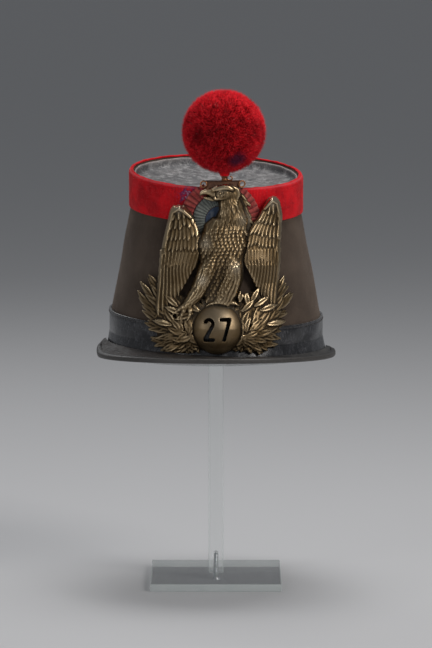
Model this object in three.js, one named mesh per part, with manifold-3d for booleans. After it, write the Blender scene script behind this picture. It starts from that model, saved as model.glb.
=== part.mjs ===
// A felt shako with a brass eagle plate, a pleated cockade and a wool pompon, on a clear acrylic display stand.
// Millimetres, +Z up. The front of the hat faces -Y, and the origin is the middle of the stand base's underside.
import * as THREE from "three";
import { mergeVertices } from "three/addons/utils/BufferGeometryUtils.js";
import Module from "manifold-3d";

const wasm = await Module();
wasm.setup();

// Stand sizes
const BASE_WIDTH = 112.5;
const BASE_DEPTH = 125;
const BASE_THICKNESS = 6.35;
const POST_SIDE = 12.7;
const POST_LENGTH = 190.3;
const DISC_RADIUS = 90;
const DISC_THICKNESS = 6.35;
const SCREW_RADIUS = 1.85;
const SCREW_LENGTH = 24.2;
const SCREW_HEAD_RADIUS = 4;
const SCREW_HEAD_HEIGHT = 2.2;

// Gaps between pieces
const GAP = 0.3;
const PLATE_GAP = 0.8;

// Felt body: half sizes of its oval at the foot and at the crown
const FOOT_HALF_WIDTH = 90;
const FOOT_HALF_DEPTH = 103.5;
const CROWN_HALF_WIDTH = 73;
const CROWN_HALF_DEPTH = 77.5;
const CROWN_FORWARD = 7;
const TAPER_START = 30;
const TAPER_END = 120;
const RIM_HEIGHT = 150.8;
const FELT_THICKNESS = 2.5;
const RIM_TILT = Math.tan(THREE.MathUtils.degToRad(6.5));
const SIDE_SLOPE = Math.tan(THREE.MathUtils.degToRad(2));
const LEVEL_FOOT = 20;
const AROUND = 56;
const SMALLEST_EDGE = 0.01;

// Leather crown
const CROWN_LEATHER = 2;
const CROWN_WALL_HEIGHT = 6;
const CROWN_SUNK = 0.8;
const CROWN_DISH = 2.5;
const CROWN_FILLET = 1;

// Red braid
const BRAID_HEIGHT = 30;
const BRAID_THICKNESS = 1.3;
const BRAID_ROLL = 1.1;

// Leather band
const BAND_HEIGHT = 31;
const BAND_THICKNESS = 1.8;
const BAND_FLARE = 2.4;
const BAND_FLARE_HEIGHT = 13;
const BAND_FOOT = 0.3;

// Peak and its binding
const PEAK_DEPTH = 27.7;
const PEAK_THICKNESS = 2.2;
const PEAK_END_ANGLE = 95;
const PEAK_CUT_ANGLE = 90;
const PEAK_ROOT_HEIGHT = 4.4;
const PEAK_FRONT_HEIGHT = 4.2;
const PEAK_SIDE_HEIGHT = -1.5;
const PEAK_COLUMNS = 30;
const BINDING_ANGLE = 82;
const BINDING_REACH = 3;
const BINDING_THICKNESS = 0.8;

// Cockade, centred on the front of the hat
const COCKADE_X = 3.4;
const COCKADE_HEIGHT = 116;
const COCKADE_THICKNESS = 2.5;
const COCKADE_RADIUS = 34.1;
const WHITE_RADIUS = 23.3;
const CENTRE_RADIUS = 12.4;
const PLEATS = 22;
const PLEAT_DEPTH = 0.8;
const LOOP_RADIUS = 2.6;
const LOOP_WIRE = 0.7;
const LOOPS_X = 5.7;
const LOOP_SPREAD = 16;
const LOOP_DROP = 3;

// Pompon, its stem, ferrule and pocket
const POMPON_RADIUS = 35.6;
const POMPON_X = 6.4;
const LOCK_LENGTH = 3.4;
const LOCK_COUNT = 56;
const LOCK_SPREAD = 3.2;
const LOCK_SIDES = 5;
const STEM_TOP_RADIUS = 5.7;
const STEM_FOOT_RADIUS = 3.8;
const STEM_HEIGHT = 7.5;
const STEM_IN_BALL = 5.8;
const FERRULE_RADIUS = 3;
const FERRULE_HEIGHT = 3.6;
const CURL_RADIUS = 2;
const CURL_WIRE = 0.6;
const PIN_X = 7.2;
const PIN_RADIUS = 1;
const PIN_LENGTH = 4;
const POCKET_WIDTH = 28.5;
const POCKET_DEPTH = 10.4;
const POCKET_HEIGHT = 5.6;
const POCKET_X = 6.2;

// Brass plate
const PLATE_HALF_WIDTH = 66;
const PLATE_HEIGHT = 143.5;
const PLATE_FOOT = 5;
const PLATE_RELIEF = 12;
const PLATE_EDGE = 1.2;
const PLATE_RAMP_FOOT = 18;
const PLATE_RAMP = 15;
const SHEET_THICKNESS = 2.4;
const SHEET_SEAT = 0.9;
const FAN_SEAT = 0.5;
const WING_SEAT = 1;
const BALL_X = 1;
const BALL_HEIGHT = 27;
const BALL_RADIUS = 21;
const BALL_WALL = 2;
const BALL_RISE = 10;
const DIGIT_HEIGHT = 20;
const DIGIT_WIDTH = 9.5;
const DIGIT_STROKE = 3;
const DIGIT_SPACE = 4;

// Heights worked out from the sizes above
const POST_FOOT = BASE_THICKNESS + GAP;
const DISC_FOOT = POST_FOOT + POST_LENGTH + GAP;
const HAT_FOOT = DISC_FOOT + DISC_THICKNESS + GAP;
const BAND_FACE = GAP + BAND_THICKNESS;
const COCKADE_BACK = GAP + BRAID_THICKNESS + GAP;
const COCKADE_FACE = COCKADE_BACK + COCKADE_THICKNESS;
const PEAK_ROOT = BAND_FACE + BAND_FLARE + GAP;

const lerp = THREE.MathUtils.lerp;
const clamp01 = (value) => THREE.MathUtils.clamp(value, 0, 1);

// Closed geometry from sections joined one to the next. A ring of sections closes on itself, a row of them is capped.
function loft(sections, ring) {
  const count = sections[0].length;
  const points = sections.flat();
  const faces = [];
  const last = ring ? sections.length : sections.length - 1;
  for (let i = 0; i < last; i++) {
    const here = i * count;
    const next = ((i + 1) % sections.length) * count;
    for (let j = 0; j < count; j++) {
      const k = (j + 1) % count;
      faces.push([here + j, next + j, next + k], [here + j, next + k, here + k]);
    }
  }
  if (!ring) {
    const end = (sections.length - 1) * count;
    for (let j = 1; j < count - 1; j++) {
      faces.push([0, j, j + 1], [end, end + j + 1, end + j]);
    }
  }
  return welded(points, faces);
}

// Welds equal points, drops faces that collapse, and turns the faces outwards
function welded(points, faces) {
  const loose = new THREE.BufferGeometry().setFromPoints(points);
  loose.setIndex(faces.flat());
  const geometry = mergeVertices(loose, 1e-3);
  const index = geometry.getIndex().array;
  const place = geometry.getAttribute("position");
  const kept = [];
  const [a, b, c] = [new THREE.Vector3(), new THREE.Vector3(), new THREE.Vector3()];
  let volume = 0;
  for (let i = 0; i < index.length; i += 3) {
    const [p, q, r] = [index[i], index[i + 1], index[i + 2]];
    if (p === q || q === r || r === p) {
      continue;
    }
    kept.push([p, q, r]);
    a.fromBufferAttribute(place, p);
    b.fromBufferAttribute(place, q);
    c.fromBufferAttribute(place, r);
    volume += a.dot(b.cross(c));
  }
  geometry.setIndex(kept.flatMap(([p, q, r]) => (volume < 0 ? [p, r, q] : [p, q, r])));
  return geometry;
}

function toSolid(geometry) {
  let bare = geometry.clone();
  bare.deleteAttribute("normal");
  bare.deleteAttribute("uv");
  bare = mergeVertices(bare, 1e-4);
  const vertProperties = new Float32Array(bare.getAttribute("position").array);
  const triVerts = new Uint32Array(bare.getIndex().array);
  return new wasm.Manifold(new wasm.Mesh({ numProp: 3, vertProperties, triVerts }));
}

function toGeometry(solid) {
  const mesh = solid.getMesh();
  const geometry = new THREE.BufferGeometry();
  geometry.setAttribute("position", new THREE.BufferAttribute(mesh.vertProperties, 3));
  geometry.setIndex(new THREE.BufferAttribute(mesh.triVerts, 1));
  return geometry;
}

// A cut or joined solid's geometry, without the edges and faces that are too small to make
function toTidyGeometry(solid) {
  const mesh = solid.getMesh();
  const points = [];
  for (let i = 0; i < mesh.vertProperties.length; i += 3) {
    points.push(new THREE.Vector3().fromArray(mesh.vertProperties, i));
  }
  let faces = [];
  for (let i = 0; i < mesh.triVerts.length; i += 3) {
    faces.push([...mesh.triVerts.subarray(i, i + 3)]);
  }
  for (let round = 0; round < 4; round++) {
    faces = withoutShortEdges(points, faces);
    turnThinFaces(points, faces);
  }
  const tidy = toSolid(welded(points, withoutShortEdges(points, faces)));
  const larger = (best, piece) => (piece.volume() > best.volume() ? piece : best);
  return toGeometry(tidy.decompose().reduce(larger));
}

function withoutShortEdges(points, faces) {
  const owner = points.map((_, i) => i);
  const ownerOf = (i) => (owner[i] === i ? i : ownerOf(owner[i]));
  for (const face of faces) {
    face.forEach((p, i) => {
      const [a, b] = [ownerOf(p), ownerOf(face[(i + 1) % 3])];
      if (a !== b && points[a].distanceTo(points[b]) < SMALLEST_EDGE) {
        owner[b] = a;
      }
    });
  }
  const merged = faces.map((face) => face.map(ownerOf)).filter(([p, q, r]) => p !== q && q !== r && r !== p);
  const key = (face) => [...face].sort((a, b) => a - b).join();
  const seen = new Map();
  merged.forEach((face) => seen.set(key(face), (seen.get(key(face)) ?? 0) + 1));
  return merged.filter((face) => seen.get(key(face)) === 1);
}

function turnThinFaces(points, faces) {
  const across = new Map();
  faces.forEach((face, at) => face.forEach((p, i) => across.set(`${p},${face[(i + 1) % 3]}`, at)));
  const turned = new Set();
  faces.forEach((face, at) => {
    const lengths = face.map((p, i) => points[p].distanceTo(points[face[(i + 1) % 3]]));
    const long = lengths.indexOf(Math.max(...lengths));
    const [a, b, c] = [face[long], face[(long + 1) % 3], face[(long + 2) % 3]];
    const side = points[b].clone().sub(points[a]);
    const height = side.cross(points[c].clone().sub(points[a])).length() / lengths[long];
    const other = across.get(`${b},${a}`);
    if (height > SMALLEST_EDGE || other === undefined || turned.has(at) || turned.has(other)) {
      return;
    }
    const d = faces[other].find((p) => p !== a && p !== b);
    if (across.has(`${c},${d}`) || across.has(`${d},${c}`)) {
      return;
    }
    faces[at] = [a, d, c];
    faces[other] = [d, b, c];
    [at, other].forEach((i) => turned.add(i));
    across.set(`${c},${d}`, other);
    across.set(`${d},${c}`, at);
  });
}

const joined = (geometries) => geometries.map(toSolid).reduce((whole, piece) => whole.add(piece));

// The felt's oval at a level, measured up the wall from its foot
function ovalAt(level) {
  const share = clamp01((level - TAPER_START) / (TAPER_END - TAPER_START));
  return {
    halfWidth: lerp(FOOT_HALF_WIDTH, CROWN_HALF_WIDTH, share),
    halfDepth: lerp(FOOT_HALF_DEPTH, CROWN_HALF_DEPTH, share),
    centre: lerp(0, -CROWN_FORWARD, share),
  };
}

// Height of a point of the wall: level at the foot, tilted forward and a little to one side at the rim
function leaned(level, x, ahead) {
  return level - (RIM_TILT * ahead * level) / RIM_HEIGHT - SIDE_SLOPE * x * Math.min(1, level / LEVEL_FOOT);
}

// A point on the wall, by its angle from the front, its level and its distance out from the felt's face
function wallPoint(angle, level, out, share = 1) {
  const { halfWidth, halfDepth, centre } = ovalAt(level);
  const x = (halfWidth + out) * share * Math.sin(angle);
  const ahead = (halfDepth + out) * share * Math.cos(angle);
  return new THREE.Vector3(x, centre - ahead, leaned(level, x, ahead));
}

// The level of the front of the wall at a place seen from in front
function levelAt(x, z) {
  let level = z;
  for (let step = 0; step < 4; step++) {
    const { halfWidth, halfDepth } = ovalAt(level);
    const ahead = halfDepth * Math.sqrt(Math.max(0, 1 - (x / halfWidth) ** 2));
    const raised = z + SIDE_SLOPE * x * Math.min(1, level / LEVEL_FOOT);
    level = raised / (1 - (RIM_TILT * ahead) / RIM_HEIGHT);
  }
  return level;
}

// A point in front of the wall, by its place seen from in front and its distance out from the felt's face
function frontPoint(x, z, out) {
  const { halfWidth, halfDepth, centre } = ovalAt(levelAt(x, z));
  const ahead = (halfDepth + out) * Math.sqrt(Math.max(0, 1 - (x / (halfWidth + out)) ** 2));
  return new THREE.Vector3(x, centre - ahead, z);
}

// A closed profile with a row added wherever it passes a bend of the felt
function withBends(profile) {
  const rows = [];
  profile.forEach((row, i) => {
    const next = profile[(i + 1) % profile.length];
    rows.push(row);
    const rise = next.level - row.level;
    const bends = [TAPER_START, TAPER_END].filter((bend) => (bend - row.level) * (bend - next.level) < 0);
    bends.sort((a, b) => (a - b) * rise);
    for (const bend of bends) {
      rows.push({ level: bend, out: lerp(row.out, next.out, (bend - row.level) / rise) });
    }
  });
  return rows;
}

// A wall right round the hat, from a closed profile of rows with a level and a distance out
function wallRound(profileAt) {
  const sections = [];
  for (let i = 0; i < AROUND; i++) {
    const angle = (2 * Math.PI * i) / AROUND;
    sections.push(withBends(profileAt(angle)).map(({ level, out }) => wallPoint(angle, level, out)));
  }
  return loft(sections, true);
}

// A round form from rows with a radius and a rise, put in place by a function
function roundForm(steps, rowsAt, place) {
  const sections = [];
  for (let i = 0; i < steps; i++) {
    const angle = (2 * Math.PI * i) / steps;
    const section = rowsAt(i).map(({ radius, rise }) => {
      return place(radius * Math.sin(angle), radius * Math.cos(angle), rise);
    });
    sections.push(section);
  }
  return loft(sections, true);
}

function material(color, roughness, metalness = 0) {
  return new THREE.MeshStandardMaterial({ color, roughness, metalness });
}

const felt = material(0x3a302a, 0.95);
const wornLeather = material(0x66635f, 0.7);
const redWool = material(0xa01020, 0.95);
const blackLeather = material(0x1e1e20, 0.45);
const brownLeather = material(0x5a3524, 0.7);
const brass = material(0x8a7048, 0.4, 1);
const cockadeRed = material(0x8e3532, 0.85);
const cockadeWhite = material(0x63645c, 0.85);
const cockadeBlue = material(0x2c3a52, 0.85);
const acrylic = material(0xdfe6e4, 0.08);
acrylic.transparent = true;
acrylic.opacity = 0.35;
const steel = material(0xb8bcc0, 0.3, 1);

const model = new THREE.Group();
const stand = new THREE.Group();
const hat = new THREE.Group();
hat.position.z = HAT_FOOT;
model.add(stand, hat);

function addPiece(group, name, geometry, pieceMaterial) {
  const mesh = new THREE.Mesh(geometry, pieceMaterial);
  mesh.name = name;
  group.add(mesh);
  return mesh;
}

// Stand: the screw comes up through the base into the post, and the disc is cemented on the post
function screwForm(clearance) {
  const head = SCREW_HEAD_RADIUS + clearance;
  const shank = SCREW_RADIUS + clearance;
  const foot = -3 * clearance;
  const mouth = clearance > 0 ? [new THREE.Vector2(head, foot)] : [];
  const profile = [
    new THREE.Vector2(0, foot),
    ...mouth,
    new THREE.Vector2(head, 0),
    new THREE.Vector2(shank, SCREW_HEAD_HEIGHT + clearance),
    new THREE.Vector2(shank, SCREW_LENGTH + clearance),
    new THREE.Vector2(0, SCREW_LENGTH + clearance),
  ];
  return new THREE.LatheGeometry(profile, 16).rotateX(Math.PI / 2);
}

const screwHole = toSolid(screwForm(GAP));
const baseBlank = new THREE.BoxGeometry(BASE_WIDTH, BASE_DEPTH, BASE_THICKNESS);
baseBlank.translate(0, 0, BASE_THICKNESS / 2);
addPiece(stand, "stand_base", toGeometry(toSolid(baseBlank).subtract(screwHole)), acrylic);

const postBlank = new THREE.BoxGeometry(POST_SIDE, POST_SIDE, POST_LENGTH);
postBlank.translate(0, 0, POST_FOOT + POST_LENGTH / 2);
addPiece(stand, "stand_post", toGeometry(toSolid(postBlank).subtract(screwHole)), acrylic);

const discForm = new THREE.CylinderGeometry(DISC_RADIUS, DISC_RADIUS, DISC_THICKNESS, AROUND);
discForm.rotateX(Math.PI / 2).translate(0, 0, DISC_FOOT + DISC_THICKNESS / 2);
addPiece(stand, "stand_disc", discForm, acrylic);
addPiece(stand, "stand_screw", screwForm(0), steel);

// Felt body
addPiece(
  hat,
  "felt_shell",
  wallRound(() => [
    { level: 0, out: 0 },
    { level: RIM_HEIGHT, out: 0 },
    { level: RIM_HEIGHT, out: -FELT_THICKNESS },
    { level: 0, out: -FELT_THICKNESS },
  ]),
  felt,
);

// Leather crown: a shallow dish with an upturned edge, seated inside the felt
function crownTop() {
  const outer = -FELT_THICKNESS - GAP;
  const inner = outer - CROWN_LEATHER;
  const top = RIM_HEIGHT - CROWN_SUNK;
  const floor = top - CROWN_WALL_HEIGHT;
  const rows = [
    { share: 0, out: 0, level: floor - CROWN_DISH - CROWN_LEATHER },
    { share: 1, out: outer, level: floor - CROWN_LEATHER },
    { share: 1, out: outer, level: top },
    { share: 1, out: inner, level: top },
    { share: 1, out: inner - CROWN_FILLET, level: floor },
    { share: 0.6, out: inner, level: floor - 0.7 * CROWN_DISH },
    { share: 0, out: 0, level: floor - CROWN_DISH },
  ];
  const sections = [];
  for (let i = 0; i < AROUND; i++) {
    const angle = (2 * Math.PI * i) / AROUND;
    sections.push(rows.map(({ share, out, level }) => wallPoint(angle, level, out, share)));
  }
  return loft(sections, true);
}
addPiece(hat, "crown_top", crownTop(), wornLeather);

// Red braid, its top edge rolled over the rim
addPiece(
  hat,
  "red_braid",
  wallRound(() => {
    const foot = RIM_HEIGHT - BRAID_HEIGHT;
    const face = GAP + BRAID_THICKNESS;
    const inside = -FELT_THICKNESS + GAP;
    return [
      { level: foot, out: GAP },
      { level: foot, out: face },
      { level: RIM_HEIGHT - BRAID_ROLL, out: face },
      { level: RIM_HEIGHT + GAP + BRAID_ROLL, out: face - BRAID_ROLL },
      { level: RIM_HEIGHT + GAP + BRAID_ROLL, out: inside },
      { level: RIM_HEIGHT + GAP, out: inside },
      { level: RIM_HEIGHT + GAP, out: GAP },
    ];
  }),
  redWool,
);

// Leather band. It flares at the front and the sides, where the peak is sewn on.
const flareAt = (level) => BAND_FLARE * clamp01(1 - level / BAND_FLARE_HEIGHT);
const flareShare = (angle) => clamp01((Math.cos(angle) + 0.5) / 0.5);
addPiece(
  hat,
  "leather_band",
  wallRound((angle) => {
    const flare = (level) => flareAt(level) * flareShare(angle);
    return [
      { level: BAND_FOOT, out: BAND_FACE + flare(BAND_FOOT) },
      { level: BAND_FLARE_HEIGHT, out: BAND_FACE },
      { level: BAND_HEIGHT, out: BAND_FACE },
      { level: BAND_HEIGHT, out: GAP },
      { level: BAND_FLARE_HEIGHT, out: GAP },
      { level: BAND_FOOT, out: GAP + flare(BAND_FOOT) },
    ];
  }),
  blackLeather,
);

// Peak: a crescent whose root follows the band, and whose edge droops at the sides
const peakWidth = (angle) => {
  const share = Math.abs(THREE.MathUtils.radToDeg(angle)) / PEAK_END_ANGLE;
  return PEAK_DEPTH * Math.cos((share * Math.PI) / 2) ** 0.9;
};

// A point of the peak by its angle, its share of the way from root to edge, and its place down through the leather
function peakPoint(angle, share, down) {
  const width = peakWidth(angle);
  const out = PEAK_ROOT + width * share;
  const x = (FOOT_HALF_WIDTH + out) * Math.sin(angle);
  const y = -(FOOT_HALF_DEPTH + out) * Math.cos(angle);
  const root = PEAK_ROOT_HEIGHT - SIDE_SLOPE * x;
  const sideways = Math.sin(angle) ** 2;
  const edge = lerp(PEAK_FRONT_HEIGHT, PEAK_SIDE_HEIGHT, sideways);
  const reach = Math.min(1, (2 * width) / PEAK_DEPTH);
  return new THREE.Vector3(x, y, lerp(root, edge, share * reach) - down * PEAK_THICKNESS);
}

const peakAngles = Array.from({ length: PEAK_COLUMNS + 1 }, (_, i) => {
  return THREE.MathUtils.degToRad(lerp(-PEAK_CUT_ANGLE, PEAK_CUT_ANGLE, i / PEAK_COLUMNS));
});

function peakForm() {
  const shares = [0, 0.33, 0.67, 1];
  const sections = [];
  for (const angle of peakAngles) {
    const top = shares.map((share) => peakPoint(angle, share, 0));
    const under = shares.map((share) => peakPoint(angle, share, 1)).reverse();
    sections.push([...top, ...under]);
  }
  return loft(sections, false);
}
addPiece(hat, "peak", peakForm(), blackLeather);

// Binding: a strip folded round the peak's edge
function bindingForm() {
  const inner = PEAK_THICKNESS / 2 + GAP;
  const outer = inner + BINDING_THICKNESS;
  const nose = GAP + BINDING_THICKNESS;
  const profile = [
    { along: -BINDING_REACH, up: inner },
    { along: -BINDING_REACH, up: outer },
    { along: 0, up: outer },
    { along: nose, up: inner },
    { along: nose, up: -inner },
    { along: 0, up: -outer },
    { along: -BINDING_REACH, up: -outer },
    { along: -BINDING_REACH, up: -inner },
    { along: GAP, up: -inner },
    { along: GAP, up: inner },
  ];
  const sections = [];
  const bound = peakAngles.filter((angle) => Math.abs(angle) < THREE.MathUtils.degToRad(BINDING_ANGLE));
  for (const angle of bound) {
    const edge = peakPoint(angle, 1, 0.5);
    const outward = edge.clone().sub(peakPoint(angle, 0.67, 0.5)).normalize();
    const section = profile.map(({ along, up }) => {
      return edge.clone().addScaledVector(outward, along).add(new THREE.Vector3(0, 0, up));
    });
    sections.push(section);
  }
  return loft(sections, false);
}
addPiece(hat, "peak_binding", bindingForm(), blackLeather);

// Pocket on the front of the rim, open above for the pompon's pin
const crownFront = -CROWN_FORWARD - CROWN_HALF_DEPTH;
const rimFront = leaned(RIM_HEIGHT + GAP + BRAID_ROLL, POCKET_X - POCKET_WIDTH / 2, CROWN_HALF_DEPTH);
const POCKET_FOOT = rimFront + GAP;
const POCKET_TOP = POCKET_FOOT + POCKET_HEIGHT;
const PIN_Y = crownFront - COCKADE_FACE + POCKET_DEPTH / 2;

function pocketForm() {
  const edge = (out, side) => {
    const points = [];
    for (let i = 0; i <= 6; i++) {
      const x = POCKET_X + (side * POCKET_WIDTH * (i - 3)) / 6;
      points.push(frontPoint(x, RIM_HEIGHT, out));
    }
    return points;
  };
  const plan = [...edge(COCKADE_FACE, 1), ...edge(COCKADE_FACE - POCKET_DEPTH, -1)];
  const levels = [POCKET_FOOT, POCKET_TOP];
  const blank = loft(levels.map((z) => plan.map(({ x, y }) => new THREE.Vector3(x, y, z))), false);
  const bore = new THREE.CylinderGeometry(PIN_RADIUS + GAP, PIN_RADIUS + GAP, POCKET_HEIGHT, 12);
  bore.rotateX(Math.PI / 2).translate(PIN_X, PIN_Y, POCKET_TOP - PIN_LENGTH - GAP + POCKET_HEIGHT / 2);
  return toGeometry(toSolid(blank).subtract(toSolid(bore)));
}
addPiece(hat, "pompon_pocket", pocketForm(), brownLeather);

// Cockade: two pleated rings and a woven middle that lie on the curve of the front
function onCockade(across, up, out) {
  return frontPoint(COCKADE_X + across, COCKADE_HEIGHT + up, out);
}

function pleatedRing(inner, outer) {
  const rowsAt = (i) => {
    const face = COCKADE_FACE - (i % 2) * PLEAT_DEPTH;
    return [
      { radius: inner, rise: COCKADE_BACK },
      { radius: outer, rise: COCKADE_BACK },
      { radius: outer - (i % 2) * PLEAT_DEPTH, rise: face },
      { radius: inner, rise: face },
    ];
  };
  return roundForm(2 * PLEATS, rowsAt, onCockade);
}

const pocketRoom = new THREE.BoxGeometry(POCKET_WIDTH + 2 * GAP, 4 * POCKET_DEPTH, 2 * COCKADE_RADIUS);
pocketRoom.translate(POCKET_X, crownFront, POCKET_FOOT - GAP + COCKADE_RADIUS);
const redRing = toSolid(pleatedRing(WHITE_RADIUS + GAP, COCKADE_RADIUS)).subtract(toSolid(pocketRoom));
addPiece(hat, "cockade_red_ring", toGeometry(redRing), cockadeRed);
const whiteRing = toSolid(pleatedRing(CENTRE_RADIUS + GAP, WHITE_RADIUS)).subtract(toSolid(pocketRoom));
addPiece(hat, "cockade_white_ring", toGeometry(whiteRing), cockadeWhite);

const centreRows = [
  { radius: 0, rise: COCKADE_BACK },
  { radius: CENTRE_RADIUS, rise: COCKADE_BACK },
  { radius: CENTRE_RADIUS, rise: COCKADE_FACE - PLEAT_DEPTH },
  { radius: 0.6 * CENTRE_RADIUS, rise: COCKADE_FACE },
  { radius: 0, rise: COCKADE_FACE },
];
addPiece(hat, "cockade_centre", roundForm(PLEATS, () => centreRows, onCockade), cockadeBlue);

// Two small wire loops at the cockade's top edge
function loopForm(side) {
  const ring = new THREE.TorusGeometry(LOOP_RADIUS, LOOP_WIRE, 5, 11);
  const x = LOOPS_X + side * LOOP_SPREAD;
  const z = COCKADE_HEIGHT + COCKADE_RADIUS - LOOP_DROP;
  const seat = frontPoint(x, z, COCKADE_FACE + GAP + LOOP_WIRE);
  const beside = frontPoint(x + 1, z, COCKADE_FACE + GAP + LOOP_WIRE);
  const turn = Math.atan2(beside.y - seat.y, beside.x - seat.x);
  ring.rotateX(Math.PI / 2).rotateZ(turn).translate(seat.x, seat.y, seat.z);
  return ring;
}
addPiece(hat, "cockade_loop_left", loopForm(-1), brass);
addPiece(hat, "cockade_loop_right", loopForm(1), brass);

// Ferrule with its pin and a curl of wire, and the wrapped stem above it
const FERRULE_FOOT = POCKET_TOP + GAP;
const STEM_FOOT = FERRULE_FOOT + FERRULE_HEIGHT + GAP;
const POMPON_HEIGHT = STEM_FOOT + STEM_HEIGHT - STEM_IN_BALL + POMPON_RADIUS;

function turnedAtPin(profile, sides) {
  const points = profile.map(([radius, height]) => new THREE.Vector2(radius, height));
  return new THREE.LatheGeometry(points, sides).rotateX(Math.PI / 2).translate(PIN_X, PIN_Y, 0);
}

function ferruleForm() {
  const turned = turnedAtPin(
    [
      [0, FERRULE_FOOT - PIN_LENGTH],
      [PIN_RADIUS, FERRULE_FOOT - PIN_LENGTH],
      [PIN_RADIUS, FERRULE_FOOT],
      [FERRULE_RADIUS, FERRULE_FOOT],
      [0.8 * FERRULE_RADIUS, FERRULE_FOOT + 0.5 * FERRULE_HEIGHT],
      [FERRULE_RADIUS, FERRULE_FOOT + FERRULE_HEIGHT],
      [0, FERRULE_FOOT + FERRULE_HEIGHT],
    ],
    12,
  );
  const wire = new THREE.Shape().absarc(0, 0, CURL_WIRE, 0, 2 * Math.PI);
  const turns = [];
  for (let i = 0; i <= 8; i++) {
    const angle = Math.PI * (1 + (1.5 * i) / 8);
    const reach = FERRULE_RADIUS + CURL_RADIUS - CURL_WIRE;
    const x = PIN_X + reach + CURL_RADIUS * Math.cos(angle);
    const z = FERRULE_FOOT + 0.5 * FERRULE_HEIGHT + CURL_RADIUS * Math.sin(angle) * 0.8;
    turns.push(new THREE.Vector3(x, PIN_Y - CURL_WIRE, z));
  }
  const extrudePath = new THREE.CatmullRomCurve3(turns);
  const curl = new THREE.ExtrudeGeometry(wire, { steps: 8, curveSegments: 5, extrudePath, bevelEnabled: false });
  return toGeometry(joined([turned, curl]));
}
addPiece(hat, "pompon_ferrule", ferruleForm(), brass);

function stemForm(clearance) {
  const foot = STEM_FOOT - 3 * clearance;
  return turnedAtPin(
    [
      [0, foot],
      [STEM_FOOT_RADIUS + clearance, foot],
      [STEM_TOP_RADIUS + clearance, STEM_FOOT + STEM_HEIGHT + clearance],
      [0, STEM_FOOT + STEM_HEIGHT + clearance],
    ],
    12,
  );
}
addPiece(hat, "pompon_stem", stemForm(0), redWool);

// Pompon: blunt locks of wool all over a round head, with a socket for the stem
function pomponForm() {
  const centre = new THREE.Vector3(POMPON_X, PIN_Y, POMPON_HEIGHT);
  const head = new THREE.IcosahedronGeometry(POMPON_RADIUS - LOCK_LENGTH, 1).translate(...centre);
  const spread = (LOCK_SPREAD * POMPON_RADIUS) / Math.sqrt(LOCK_COUNT);
  const locks = [];
  for (let i = 0; i < LOCK_COUNT; i++) {
    const up = 1 - (2 * i + 1) / LOCK_COUNT;
    const turn = i * Math.PI * (3 - Math.sqrt(5));
    const around = Math.sqrt(1 - up * up);
    const direction = new THREE.Vector3(around * Math.cos(turn), around * Math.sin(turn), up);
    const depth = 2 * LOCK_LENGTH;
    const lock = new THREE.ConeGeometry(spread, depth, LOCK_SIDES);
    lock.translate(0, POMPON_RADIUS - depth / 2, 0);
    lock.applyQuaternion(new THREE.Quaternion().setFromUnitVectors(new THREE.Vector3(0, 1, 0), direction));
    locks.push(lock.translate(...centre));
  }
  return toTidyGeometry(joined([head, ...locks]).subtract(toSolid(stemForm(GAP))));
}
addPiece(hat, "pompon", pomponForm(), redWool);

// Brass plate. Places on it are shares: across of its half width, up of its height, rise of its relief.
function plateBack(x, z) {
  const level = levelAt(x, z);
  const overBand = BAND_FACE + flareAt(level);
  const cockadeFoot = COCKADE_HEIGHT - COCKADE_RADIUS;
  const lift = clamp01((z - cockadeFoot + PLATE_RAMP_FOOT) / PLATE_RAMP);
  return lerp(overBand, Math.max(overBand, COCKADE_FACE), lift) + PLATE_GAP;
}

function platePoint(x, z, rise) {
  return frontPoint(x, z, plateBack(x, z) + rise);
}

// A raised form along a path. Its rows hold a place, half its width and its crest, and steps go across it.
// Its foot is how far its own back stands off the plate's back, so that it grows out of the sheet under it.
function raised(rows, steps, { edge = PLATE_EDGE, foot = 0, level = false } = {}) {
  const spine = rows.map(({ across, up }) => {
    return new THREE.Vector2(across * PLATE_HALF_WIDTH, PLATE_FOOT + up * PLATE_HEIGHT);
  });
  const sections = rows.map(({ half, crest }, i) => {
    const before = spine[Math.max(0, i - 1)];
    const after = spine[Math.min(rows.length - 1, i + 1)];
    const along = after.clone().sub(before).normalize();
    const side = level ? new THREE.Vector2(1, 0) : new THREE.Vector2(-along.y, along.x);
    const width = half * PLATE_HALF_WIDTH;
    const top = Math.max(crest * PLATE_RELIEF, foot + edge);
    const face = [];
    const back = [];
    for (let j = 0; j <= steps; j++) {
      const share = j / steps;
      const place = spine[i].clone().addScaledVector(side, lerp(-width, width, share));
      const swell = Math.sin(Math.PI * share);
      face.push(platePoint(place.x, place.y, lerp(foot + edge, top, swell)));
      back.push(platePoint(place.x, place.y, foot));
    }
    return [...face, ...back.reverse()];
  });
  return loft(sections, false);
}

// Value of a table's column at a key between two of its rows
function tableAt(table, key, at, column) {
  for (let i = 1; i < table.length; i++) {
    const [low, high] = [table[i - 1], table[i]];
    if ((at - low[key]) * (at - high[key]) <= 0) {
      return lerp(low[column], high[column], (at - low[key]) / (high[key] - low[key]));
    }
  }
  const end = Math.abs(at - table[0][key]) < Math.abs(at - table[table.length - 1][key]) ? 0 : table.length - 1;
  return table[end][column];
}

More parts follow.
